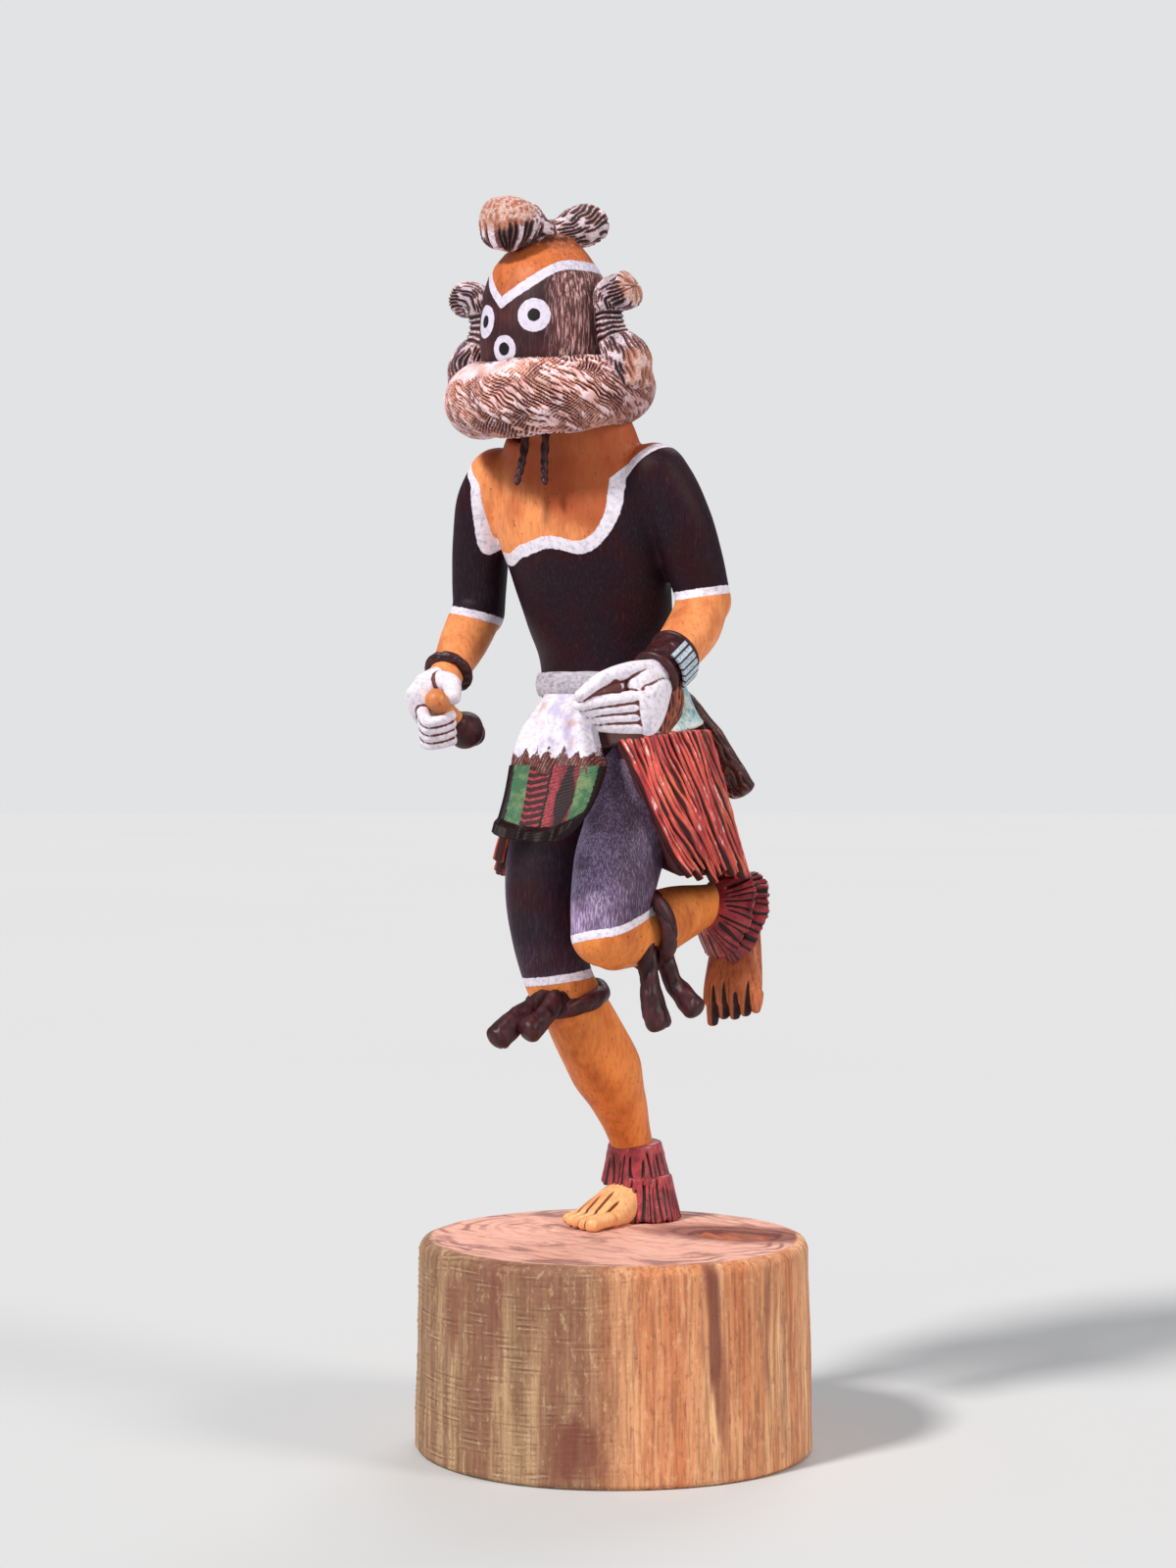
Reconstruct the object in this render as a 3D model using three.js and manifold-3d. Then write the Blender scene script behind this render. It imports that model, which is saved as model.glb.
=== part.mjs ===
// Kachina doll: a dancer carved from one length of cottonwood root, standing on one
// foot on a round of cottonwood log with the bark off.
//
// Millimetres, +Z up. The origin is the middle of the log's underside. The dancer faces
// -Y, and its left side is towards +X. Heights in the figure are measured from the top
// of the log, and every form is joined into one carving, which is cut flat at the sole.

import * as THREE from 'three';
import { mergeVertices } from 'three/addons/utils/BufferGeometryUtils.js';
import Module from 'manifold-3d';

const wasm = await Module();
wasm.setup();

// The log round.
const BASE_HEIGHT = 41;
const BASE_TOP_RADIUS = 37.4;
const BASE_FOOT_RADIUS = 38.3;
const BASE_EDGE = 2;
const BASE_SIDES = 40;

// The dancer's main sizes and turns.
const SHOULDER_WIDTH = 18.5;
const CHEST_TURN = 10;
const HEAD_TURN = 5;
const MASK_RADIUS = 12.4;
const RUFF_RADIUS = 13.4;
const RUFF_REACH = 7.2;
const RUFF_HALF_HEIGHT = 6.8;
const ARM_GIRTH = 6;
const FINGER_GIRTH = 1.3;
const THIGH_GIRTH = 8.3;
const CALF_GIRTH = 7;
const ANKLE_GIRTH = 3.9;
const KILT_TOP = 97;
const KILT_LENGTH = 26.5;
const KILT_STRANDS = 20;
const RUFFLE_PLEATS = 12;
const PLEAT_DEPTH = 0.07;

const X = new THREE.Vector3(1, 0, 0);
const Y = new THREE.Vector3(0, 1, 0);
const Z = new THREE.Vector3(0, 0, 1);

/** A horizontal direction, in degrees round from +X towards +Y. */
function turned(degrees) {
  return X.clone().applyAxisAngle(Z, THREE.MathUtils.degToRad(degrees));
}

/** A closed geometry as a solid that can be joined and cut. */
function solid(geometry) {
  geometry.deleteAttribute('normal');
  geometry.deleteAttribute('uv');
  const merged = mergeVertices(geometry, 1e-4);
  return new wasm.Manifold(new wasm.Mesh({
    numProp: 3,
    vertProperties: new Float32Array(merged.attributes.position.array),
    triVerts: new Uint32Array(merged.index.array),
  }));
}

/** Moves each vertex of a geometry to the place that a function gives for it. */
function mapped(geometry, place) {
  const position = geometry.attributes.position;
  const vertex = new THREE.Vector3();
  for (let i = 0; i < position.count; i += 1) {
    vertex.fromBufferAttribute(position, i);
    const moved = place(vertex.clone());
    position.setXYZ(i, moved.x, moved.y, moved.z);
  }
  return solid(geometry);
}

/**
 * A round form through stations of [x, y, height, half width, half depth]. The width lies
 * along `across`, and `dome` is how far each end bulges, in radii.
 */
function limb(stations, options = {}) {
  const { sides = 8, steps = 5, cap = 1, across = X, dome = 0.7 } = options;
  const path = new THREE.CatmullRomCurve3(stations.map((s) => new THREE.Vector3(s[0], s[1], s[2])));
  const girth = new THREE.CatmullRomCurve3(
    stations.map((s) => new THREE.Vector3(s[3], s[4] ?? s[3], 0)),
  );
  return mapped(new THREE.CapsuleGeometry(1, 1, cap, sides, steps), (v) => {
    const along = THREE.MathUtils.clamp(v.y + 0.5, 0, 1);
    const beyond = v.y + 0.5 - along;
    const tangent = path.getTangent(along);
    const wide = across.clone().addScaledVector(tangent, -across.dot(tangent)).normalize();
    const deep = wide.clone().cross(tangent);
    const size = girth.getPoint(along);
    return path.getPoint(along)
      .addScaledVector(wide, v.x * size.x)
      .addScaledVector(deep, v.z * size.y)
      .addScaledVector(tangent, beyond * dome * Math.min(size.x, size.y));
  });
}

/**
 * A band round a limb at [x, y, height]: a ring of half axes `wide` and `deep`, whose
 * section stands out by `reach` and is `half` high on each side of its middle.
 */
function band(at, options) {
  const { wide, deep = wide, reach, half, axis = Z, across = X, sides = 6, steps = 18 } = options;
  const { relief = () => 1 } = options;
  const up = axis.clone().normalize();
  const right = across.clone().addScaledVector(up, -across.dot(up)).normalize();
  const away = up.clone().cross(right);
  return mapped(new THREE.TorusGeometry(2, 1, sides, steps), (v) => {
    const round = Math.atan2(v.y, v.x);
    const out = Math.hypot(v.x, v.y) - 2;
    const swell = relief(round, Math.atan2(v.z, out));
    return new THREE.Vector3(...at)
      .addScaledVector(right, Math.cos(round) * (wide + out * reach * swell))
      .addScaledVector(away, Math.sin(round) * (deep + out * reach * swell))
      .addScaledVector(up, v.z * half * swell);
  });
}

/** A ruffle round an ankle: a drum of pleats that widens from `narrow` to `broad`. */
function ruffle(at, options) {
  const { narrow, broad, length, axis, curve = 1 } = options;
  const up = axis.clone().normalize();
  const right = X.clone().addScaledVector(up, -X.dot(up)).normalize();
  const away = up.clone().cross(right);
  return mapped(new THREE.CylinderGeometry(1, 1, 1, RUFFLE_PLEATS * 2), (v) => {
    const along = v.y + 0.5;
    const round = Math.atan2(v.x, v.z);
    const radius = THREE.MathUtils.lerp(narrow, broad, along ** curve);
    const pleat = 1 + PLEAT_DEPTH * Math.cos(RUFFLE_PLEATS * round) * (0.4 + 0.6 * along);
    return new THREE.Vector3(...at)
      .addScaledVector(right, Math.sin(round) * Math.hypot(v.x, v.z) * radius * pleat)
      .addScaledVector(away, -Math.cos(round) * Math.hypot(v.x, v.z) * radius * pleat)
      .addScaledVector(up, along * length);
  });
}

/**
 * A thick sheet bent to shape. `place` gives the point at `u` across, `v` down and `out`,
 * which is 0 on the inner face and 1 on the outer.
 */
function sheet(columns, rows, place) {
  const slab = new THREE.BoxGeometry(1, 1, 1, columns, rows, 1);
  return mapped(slab, (p) => place(p.x + 0.5, 0.5 - p.y, p.z + 0.5));
}

/** All forms of a list joined into one solid. */
function joined(forms) {
  return forms.reduce((whole, form) => whole.add(form));
}

/** The painted body: trunk and neck. */
function trunk() {
  const s = SHOULDER_WIDTH;
  return limb([
    [-6.5, 6.3, 88, 15.5, 12],
    [-6.3, 5.6, 97.5, 14.5, 11],
    [-5.8, 4.5, 106, 13.2, 10.8],
    [-5, 3.2, 114, 14.2, 10.4],
    [-4.8, 0.7, 122, 0.84 * s, 10.8],
    [-4.9, -1.8, 131, 0.92 * s, 11.4],
    [-5, -3.8, 139, s, 11.4],
    [-5.2, -5.2, 146, 0.93 * s, 10],
    [-4.6, -6.4, 151.5, 0.84 * s, 8.6],
    [-3.9, -7.6, 155.6, 0.66 * s, 7.8],
    [-5.4, -9.6, 161, 0.46 * s, 7.2],
  ], { sides: 15, steps: 9, dome: 0.5, across: turned(CHEST_TURN) });
}

/** Both arms, each an upper arm and a forearm. */
function arms() {
  const g = ARM_GIRTH;
  const sleeve = { sides: 8, steps: 4, cap: 2, dome: 1, across: turned(CHEST_TURN) };
  return joined([
    limb([
      [11.4, -1.8, 146.6, 1.1 * g, 1.08 * g],
      [14.2, 0, 141.6, 1.04 * g, 1.06 * g],
      [16.4, 2, 134.6, 0.97 * g, 0.96 * g],
      [17.6, 5.6, 123, 0.88 * g],
    ], sleeve),
    limb([
      [17.6, 5.2, 123, 0.84 * g],
      [19.2, 0.6, 117.8, 0.86 * g],
      [19.8, -5.8, 112.8, 0.76 * g],
      [20, -10.6, 109.8, 0.6 * g],
    ], sleeve),
    limb([
      [-22.6, -7.6, 147.2, 1.1 * g, 1.05 * g],
      [-26.2, -7.5, 142.5, 1.04 * g, 1.02 * g],
      [-28.4, -7.1, 134.5, 0.96 * g, 0.94 * g],
      [-29.4, -6.6, 121.4, 0.86 * g],
    ], sleeve),
    limb([
      [-29.4, -7, 121.6, 0.84 * g],
      [-27.9, -12.8, 115.4, 0.8 * g],
      [-25.5, -18.7, 110.6, 0.64 * g],
      [-24.4, -22.2, 108, 0.55 * g],
    ], sleeve),
  ]);
}

/**
 * Four curled fingers, each lower and shorter than the one before. `gather` lifts the tips
 * of the lower ones.
 */
function fingers(knuckle, drop, heading, inward, reach, gather = 0) {
  const aside = new THREE.Vector3(...inward).normalize();
  return joined([0, 1, 2, 3].map((i) => {
    const ahead = new THREE.Vector3(...heading).addScaledVector(Z, gather * i).normalize();
    const long = reach * (1 - 0.1 * i);
    const start = new THREE.Vector3(...knuckle).addScaledVector(new THREE.Vector3(...drop), i);
    const middle = start.clone().addScaledVector(ahead, 0.6 * long);
    const bend = start.clone().addScaledVector(ahead, long).addScaledVector(aside, 0.5);
    const turn = bend.clone().addScaledVector(ahead, -0.12 * long).addScaledVector(aside, 2.6);
    const tip = turn.clone().addScaledVector(ahead, -0.42 * long).addScaledVector(aside, 2.2);
    const points = [start, middle, bend, turn, tip];
    return limb(points.map((p) => [p.x, p.y, p.z, FINGER_GIRTH]), { sides: 5, steps: 3, across: Z });
  }));
}

/** The left hand, whose thumb and first finger close in a loop over three curled ones. */
function leftHand() {
  const palm = { sides: 7, steps: 3, across: Z, dome: 0.6 };
  return joined([
    limb([
      [20.2, -9.6, 109.4, 3.3, 3],
      [20.6, -13.6, 107.4, 3.9, 2.6],
      [21.2, -16.6, 105.6, 4.3, 2.2],
      [21.4, -19.2, 104.2, 3.8, 1.8],
    ], palm),
    limb([
      [20.6, -11.6, 106.8, 3, 2.6],
      [22, -14.6, 103.8, 4.2, 2.3],
      [22.7, -17.2, 102, 4.7, 1.9],
      [22.9, -19.4, 101.4, 4.2, 1.3],
    ], palm),
    limb([
      [20.8, -13.4, 109.6, 2],
      [20.2, -20, 109.4, 1.6],
      [18.8, -26.4, 107.6, 1.4],
      [17.6, -31, 104.6, 1.1],
    ], { sides: 6, steps: 4 }),
    limb([
      [19.4, -19, 106, 1.9, 1.4],
      [18.6, -24, 105.6, 1.8, 1.2],
      [17.6, -27.6, 104.6, 1.2, 1],
    ], { sides: 6, steps: 2, across: Z }),
    fingers([23.4, -17.6, 105], [-0.15, 0.4, -2.05], [-0.42, -0.89, -0.14], [-1, 0.35, 0.1], 14.4, 0.055),
  ]);
}

/** The right hand, closed round the rattle's handle. */
function rightHand() {
  return joined([
    limb([
      [-24.3, -21.6, 108.2, 3.4, 3.2],
      [-24.9, -24.8, 104.8, 5.4, 3.1],
      [-24.5, -28.2, 102, 5.8, 2.8],
    ], { sides: 8, steps: 3, across: Z, dome: 0.6 }),
    limb([
      [-24, -24, 107.6, 2.3],
      [-18.8, -26.2, 107, 1.9],
      [-16, -28.6, 104.4, 1.5],
    ], { sides: 6, steps: 3 }),
    fingers([-23.9, -28.8, 102.2], [-0.3, 0.5, -1.7], [0.72, -0.62, -0.3], [0.95, 0.6, 0], 7.6),
  ]);
}

/** The gourd rattle: a handle through the fist, and the gourd behind it. */
function rattle() {
  return joined([
    limb([
      [-17.3, -32.2, 104.2, 2.1],
      [-18.7, -27.5, 101.8, 1.8],
      [-20, -21.5, 98.8, 1.8],
    ], { sides: 6, steps: 2 }),
    limb([
      [-19.4, -24.2, 99.6, 2.4],
      [-20.2, -20.6, 98.2, 3.6],
      [-20.8, -17.6, 97.4, 2.4],
    ], { sides: 9, steps: 3 }),
  ]);
}

/** The bow guard on the left wrist with its hanging tongue, and the plain band on the right. */
function wristbands() {
  const left = new THREE.Vector3(0.02, -0.84, -0.54);
  const right = new THREE.Vector3(0.25, -0.75, -0.6);
  return joined([
    limb([
      [20, -11.7, 109, 4.6, 4.3],
      [19.9, -8.8, 110.8, 5, 4.7],
      [19.8, -5.6, 112.9, 5.1, 4.8],
    ], { sides: 8, steps: 2, dome: 0.2 }),
    band([20, -11.7, 109], { wide: 4.2, reach: 0.9, half: 0.8, axis: left, sides: 4, steps: 10 }),
    limb([
      [21.6, -9.6, 107.4, 2.4, 1.2],
      [21.4, -9.6, 102.8, 2.9, 1.2],
      [20.6, -10, 98.2, 1.2, 0.9],
    ], { sides: 6, steps: 3, across: turned(40) }),
    band([-24.8, -20.4, 109.4], { wide: 3.7, reach: 1.2, half: 1.1, axis: right, sides: 4, steps: 10 }),
  ]);
}

/** The case mask: a drum with a domed crown. */
function mask() {
  const r = MASK_RADIUS;
  return limb([
    [-7, -12.6, 160, 0.85 * r],
    [-6.6, -13, 167, 0.97 * r],
    [-6.4, -13.2, 173.5, r],
    [-6.3, -13.2, 179.5, 0.97 * r],
    [-6.1, -12.9, 184.8, 0.88 * r],
    [-6, -12.8, 188.8, 0.66 * r],
    [-5.9, -12.9, 191.6, 0.44 * r],
  ], { sides: 16, steps: 7, dome: 0.25, across: turned(HEAD_TURN) });
}

/** The fox fur ruff round the neck, in combed locks, with its two tie strings. */
function ruff() {
  const locks = 16;
  const string = { sides: 4, steps: 1 };
  return joined([
    band([-6.7, -10.8, 162.6], {
      wide: RUFF_RADIUS,
      reach: RUFF_REACH,
      half: RUFF_HALF_HEIGHT,
      axis: new THREE.Vector3(0, -0.13, 1),
      steps: locks * 2,
      relief: (round, v) => 1 + 0.045 * Math.cos(locks * round + 1.5 * v) - 0.08 * Math.sin(round),
    }),
    limb([
      [-5, -19.6, 158, 1.1],
      [-4.8, -21.4, 149.5, 0.9],
      [-5.2, -22.6, 145, 0.8],
    ], string),
    limb([
      [-1.6, -18, 158, 1.1],
      [-1.2, -19.2, 149.5, 0.9],
      [-1.1, -19.2, 145, 0.8],
    ], string),
  ]);
}

/** The rolls of hair: one across the crown, and one standing by each ear. */
function hairRolls() {
  const side = { sides: 9, steps: 7, dome: 0.4, across: Y };
  return joined([
    limb([
      [-7.9, -25.4, 193.8, 5, 4.8],
      [-7.3, -22.6, 194, 5.8, 5.2],
      [-6.4, -18.6, 193.8, 4.8, 4.5],
      [-5.4, -14.2, 193, 2.8, 2.7],
      [-4.8, -10.8, 193.2, 3.1, 2.8],
      [-4.4, -6.8, 194.6, 5.1, 3.8],
      [-4.2, -3.6, 195.6, 5.9, 4.1],
    ], { sides: 10, steps: 8, dome: 0.4 }),
    limb([
      [11.6, -9.6, 164, 4.8, 4.4],
      [11.2, -10.2, 168.6, 5, 4.4],
      [9, -11, 172.4, 3.3, 3.1],
      [8.4, -11.4, 176.4, 2.8, 2.7],
      [9, -11.6, 180, 3.8, 3.2],
      [12.6, -11, 181.2, 4.3, 3.6],
    ], side),
    limb([
      [-24.6, -14.2, 164.6, 4.6, 4.4],
      [-24.2, -14.4, 169, 4.8, 4.2],
      [-21.8, -14.4, 173.2, 3.2, 3.1],
      [-21.4, -14.4, 177.4, 2.8, 2.7],
      [-22.6, -14.2, 181.2, 3.7, 3.2],
      [-26.4, -14, 182.2, 4.1, 3.4],
    ], side),
  ]);
}

/**
 * The belt, the cloth round the hips, and the fringe of the kilt, open in front and carved
 * solid behind.
 */
function kilt() {
  const fringe = sheet(KILT_STRANDS * 2, 2, (u, v, out) => {
    const from = THREE.MathUtils.lerp(37, 68, v);
    const to = THREE.MathUtils.lerp(318, 298, v);
    const round = THREE.MathUtils.degToRad(THREE.MathUtils.lerp(from, to, u));
    const column = Math.round(u * KILT_STRANDS * 2);
    const ridge = out * (column % 2 === 0 ? 0 : 0.75);
    const ragged = v === 1 ? 1.4 * out * Math.sin(2.3 * Math.floor(column / 2)) : 0;
    const hollow = v * (1 - out) * 3;
    const sag = 1.8 * (1 - THREE.MathUtils.smoothstep(u, 0, 0.16)) * (1 - v);
    const reach = THREE.MathUtils.lerp(0.08, 1, out);
    const flare = 7.4 * v ** 0.9 + ridge;
    return new THREE.Vector3(
      -5.2 + (17.8 + flare) * reach * Math.sin(round),
      7.2 - (15.4 + flare) * reach * Math.cos(round),
      KILT_TOP - KILT_LENGTH * v - sag + ragged + hollow,
    );
  });
  return joined([
    band([-5.8, 4.4, 107.1], {
      wide: 13.5, deep: 11.3, reach: 0.9, half: 2.4, across: turned(CHEST_TURN), sides: 4,
    }),
    limb([
      [-4.7, 7, 97.4, 17.6, 15.4],
      [-5, 6, 102.5, 15.6, 13.6],
      [-5.7, 5, 105.8, 14.8, 12.4],
    ], { sides: 18, steps: 1, dome: 0.1 }),
    fringe,
  ]);
}

/** The embroidered sash end in front, with a bowed hem, under the tail of its white brocade. */
function sash() {
  const apron = sheet(6, 3, (u, v, out) => {
    const path = new THREE.CatmullRomCurve3([
      new THREE.Vector3(-3.6, -9, 105.2),
      new THREE.Vector3(-2.6, -13.8, 98.3),
      new THREE.Vector3(0.2, -17.2, 90),
    ]);
    const column = Math.round(u * 6);
    const zigzag = v === 1 && column % 2 === 0 ? 1.4 : 0;
    const half = THREE.MathUtils.lerp(5, 9.9, v);
    const crown = 1.6 * (1 - (2 * u - 1) ** 2);
    return path.getPoint(v)
      .addScaledVector(turned(15), (2 * u - 1) * half)
      .addScaledVector(turned(-75), out * 4 + crown - 2.6)
      .addScaledVector(Z, zigzag);
  });
  const panel = sheet(4, 2, (u, v, out) => {
    const path = new THREE.CatmullRomCurve3([
      new THREE.Vector3(0.6, -17.4, 91.6),
      new THREE.Vector3(1.7, -20.8, 84.6),
      new THREE.Vector3(2.1, -24.4, 76.6),
    ]);
    const half = THREE.MathUtils.lerp(9.7, 8.5, v);
    const bow = 0.6 + (2 * u - 1) ** 2 * (u > 0.5 ? 4.6 : 2.4);
    return path.getPoint(v)
      .addScaledVector(turned(15 + 6 * v), (2 * u - 1) * half)
      .addScaledVector(turned(-75), (out - 0.5) * 3.2)
      .addScaledVector(Z, v ** 1.5 * bow);
  });
  return joined([apron, panel]);
}

/** The fox pelt that hangs from the belt behind and swings out with the dance. */
function pelt() {
  return limb([
    [-3.9, 17, 107, 3.4, 2.4],
    [-3.4, 22.4, 104.6, 3.8, 2.4],
    [-1.4, 27.6, 99, 4, 2.3],
    [1, 32.4, 91.6, 4.2, 2.3],
    [3, 35.8, 86.2, 3.6, 2.1],
  ], { sides: 8, steps: 5 });
}

/** The standing leg on the right. */
function standingLeg() {
  const t = THIGH_GIRTH;
  const c = CALF_GIRTH;
  return joined([
    limb([
      [-13.6, 7.1, 92, 1.02 * t],
      [-16.4, 2.9, 81, t],
      [-17.4, -0.4, 71, 0.96 * t],
      [-16.6, -1, 60.6, 0.9 * t],
      [-14.8, -0.3, 51, 0.82 * t],
      [-13.4, 2.6, 43.5, 0.79 * t],
    ], { sides: 9, steps: 6 }),
    limb([
      [-13.6, 1.9, 46, 0.92 * c],
      [-12.6, 6.9, 38, c],
      [-12, 11.2, 31.4, 1.02 * c],
      [-11.5, 14.6, 25, 0.82 * c],
      [-11.4, 18.2, 17.4, 1.12 * ANKLE_GIRTH],
      [-11.3, 20.6, 10.6, ANKLE_GIRTH],
      [-11.2, 21.6, 4.4, 1.1 * ANKLE_GIRTH],
    ], { sides: 9, steps: 6 }),
  ]);
}

/** The standing foot, which points straight ahead, with five toes. */
function standingFoot() {
  const toes = [0, 1, 2, 3, 4].map((i) => {
    const x = -11.4 + 2.35 * (2 - i);
    const reach = 5.6 - 0.22 * i * i;
    const girth = i === 0 ? 1.6 : 1.3;
    return limb([
      [x, 6.6, 1.7, girth],
      [x, 6.6 - reach, 1.1, girth],
    ], { sides: 5, steps: 1 });
  });
  return joined([
    limb([
      [-10.8, 24.4, 2.6, 3.8, 3.6],
      [-11.1, 20.4, 4.4, 4.3, 5.2],
      [-11.3, 14.4, 3, 5, 4.4],
      [-11.4, 7.6, 1.2, 5.9, 2.3],
    ], { sides: 10, steps: 4, dome: 0.6 }),
    ...toes,
  ]);
}

/** The raised leg on the left, bent at the knee with the shin held level behind. */
function raisedLeg() {
  const t = THIGH_GIRTH;
  const c = CALF_GIRTH;
  return joined([
    limb([
      [0.8, 5.4, 91, 1.1 * t],
      [3.6, 0.7, 81.5, 1.05 * t],
      [4.5, -4.2, 73, 1.02 * t],
      [5.5, -8, 64, 0.92 * t],
      [5.6, -9.4, 59, 0.8 * t],
    ], { sides: 9, steps: 5, cap: 2, dome: 0.9 }),
    limb([
      [5.8, -8, 58.4, 0.88 * c],
      [6, 1.1, 59.8, 0.94 * c],
      [6.6, 10.8, 62.2, 0.82 * c],
      [7.4, 18.6, 63.6, 0.6 * c],
      [8.1, 25, 64.2, 0.52 * c],
    ], { sides: 9, steps: 5 }),
  ]);
}

/** The raised foot, which hangs with its toes down, the great toe lowest. */
function raisedFoot() {
  const toes = [0, 1, 2, 3, 4].map((i) => {
    const from = new THREE.Vector3(6.9 + 2.4 * i, 22.2 + 0.4 * i, 46.5);
    const to = from.clone().add(new THREE.Vector3(0.4, -0.9, -6.3 + 0.75 * i));
    return limb([
      [from.x, from.y, from.z, 1.4],
      [to.x, to.y, to.z, 1.1],
    ], { sides: 5, steps: 1 });
  });
  return joined([
    limb([
      [8.1, 28.6, 66, 3.9, 3.6],
      [8.8, 27.6, 60.5, 4.4, 4],
      [9.9, 25.4, 54, 5.5, 3.3],
      [11, 23.2, 47.6, 6.3, 2.2],
      [11.3, 22.4, 44.4, 6.3, 1.5],
    ], { sides: 10, across: turned(12), dome: 0.5 }),
    ...toes,
  ]);
}

/** The ties under the knees, with their hanging tassels. */
function kneeTies() {
  const tassel = { sides: 5, steps: 3 };
  const shin = new THREE.Vector3(0.05, 0.97, 0.22);
  const knee = new THREE.Vector3(0, -0.3, 1);
  return joined([
    band([7.4, -0.6, 60.4], { wide: 7, deep: 7.4, reach: 1.5, half: 1.8, axis: shin, sides: 4, steps: 12 }),
    limb([
      [10.2, -2.6, 57.4, 2.1],
      [11.3, -3.2, 50.6, 1.9],
      [12.2, -2.8, 45.6, 2.4],
      [12.7, -2.4, 42.4, 2.6],
    ], tassel),
    limb([
      [10.4, 1.6, 57.4, 2],
      [12.2, 2.5, 50.6, 1.8],
      [14.4, 3.6, 47.2, 2.2],
      [16, 4.4, 45, 2.4],
    ], tassel),
    band([-13.6, 1.8, 45.4], { wide: 6.9, deep: 7, reach: 1.6, half: 1.8, axis: knee, sides: 4, steps: 12 }),
    limb([
      [-13, -4.6, 46, 2.2],
      [-14.2, -8.4, 44, 2.1],
      [-15.6, -12.4, 41, 2.6],
      [-16.6, -15, 38.8, 2.7],
    ], tassel),
    limb([
      [-10.4, -4.6, 46, 2.1],
      [-10.6, -8.4, 42.8, 2.1],
      [-11.6, -11.8, 40.2, 2.6],
    ], tassel),
  ]);
}

/** The pleated ankle ruffles, in two tiers each, which fan out backwards on the raised leg. */
function ankleRuffles() {
  const down = new THREE.Vector3(0, 0, -1);
  const back = new THREE.Vector3(0.34, 0.9, -0.32);
  return joined([
    ruffle([-11.6, 20.2, 15.4], { narrow: 5.5, broad: 7.2, length: 8, axis: down }),
    ruffle([-10.6, 20.8, 9], { narrow: 6.4, broad: 8.4, length: 9.2, axis: down }),
    ruffle([7.3, 19.4, 63.6], { narrow: 4, broad: 9.9, length: 5.2, axis: back, curve: 0.75 }),
    ruffle([8.4, 22, 62.4], { narrow: 5, broad: 10.4, length: 5, axis: back, curve: 0.8 }),
  ]);
}

/** The dancer: every form joined into one carving, cut flat where it stands. */
function dancer() {
  const whole = joined([
    trunk(),
    arms(),
    leftHand(),
    rightHand(),
    rattle(),
    wristbands(),
    mask(),
    ruff(),
    hairRolls(),
    kilt(),
    sash(),
    pelt(),
    standingLeg(),
    standingFoot(),
    raisedLeg(),
    raisedFoot(),
    kneeTies(),
    ankleRuffles(),
  ]);
  const below = new THREE.BoxGeometry(120, 120, 20);
  below.translate(0, 0, -10);
  return whole.subtract(solid(below));
}

/** The log round, a little out of true, with a softened top edge and a knot. */
function log() {
  const profile = [
    new THREE.Vector2(0, 0),
    new THREE.Vector2(BASE_FOOT_RADIUS - 0.6, 0),
    new THREE.Vector2(BASE_FOOT_RADIUS, 0.8),
    new THREE.Vector2(BASE_TOP_RADIUS, BASE_HEIGHT - BASE_EDGE),
    new THREE.Vector2(BASE_TOP_RADIUS - 0.3 * BASE_EDGE, BASE_HEIGHT - 0.4 * BASE_EDGE),
    new THREE.Vector2(BASE_TOP_RADIUS - BASE_EDGE, BASE_HEIGHT),
    new THREE.Vector2(0, BASE_HEIGHT),
  ];
  const round = mapped(new THREE.LatheGeometry(profile, BASE_SIDES), (v) => {
    const angle = Math.atan2(v.x, v.z);
    const waver = 1 + 0.008 * Math.sin(2 * angle + 0.6) + 0.005 * Math.sin(5 * angle + 2);
    return new THREE.Vector3(v.z * waver, v.x * waver, v.y);
  });
  const knot = mapped(new THREE.SphereGeometry(1, 12, 6), (v) => new THREE.Vector3(
    16 + 9.5 * v.x - 1.5 * v.y,
    17.5 + 1.5 * v.x + 5.4 * v.y,
    BASE_HEIGHT + 0.7 + 2.1 * v.z,
  ));
  return round.subtract(knot);
}

/** A named mesh of a finished solid. */
function piece(name, shape, look) {
  const { vertProperties, triVerts } = shape.getMesh();
  const geometry = new THREE.BufferGeometry();
  geometry.setAttribute('position', new THREE.BufferAttribute(vertProperties, 3));
  geometry.setIndex(new THREE.BufferAttribute(triVerts, 1));
  geometry.computeVertexNormals();
  const mesh = new THREE.Mesh(geometry, new THREE.MeshStandardMaterial(look));
  mesh.name = name;
  return mesh;
}

const doll = new THREE.Group();
const figure = piece('figure', dancer(), { color: 0xb5662f, roughness: 0.7, metalness: 0 });
figure.position.z = BASE_HEIGHT;
const base = piece('base', log(), { color: 0xb98a63, roughness: 0.8, metalness: 0 });
doll.add(base, figure);

export default doll;
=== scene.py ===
# A kachina doll: a dancer carved from one piece of cottonwood root and painted, on a round of bare log.
#
# The pieces are worked out in millimetres, with heights in the figure measured from the top of the log, and
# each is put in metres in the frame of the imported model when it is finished. The dancer faces -Y, and its
# left side is towards +X. The figure is one carving: its zones are separate meshes here only because each has
# its own cutting and its own paint.

import math

import bmesh
import bpy
import numpy as np
from mathutils import Matrix, Vector


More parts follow.
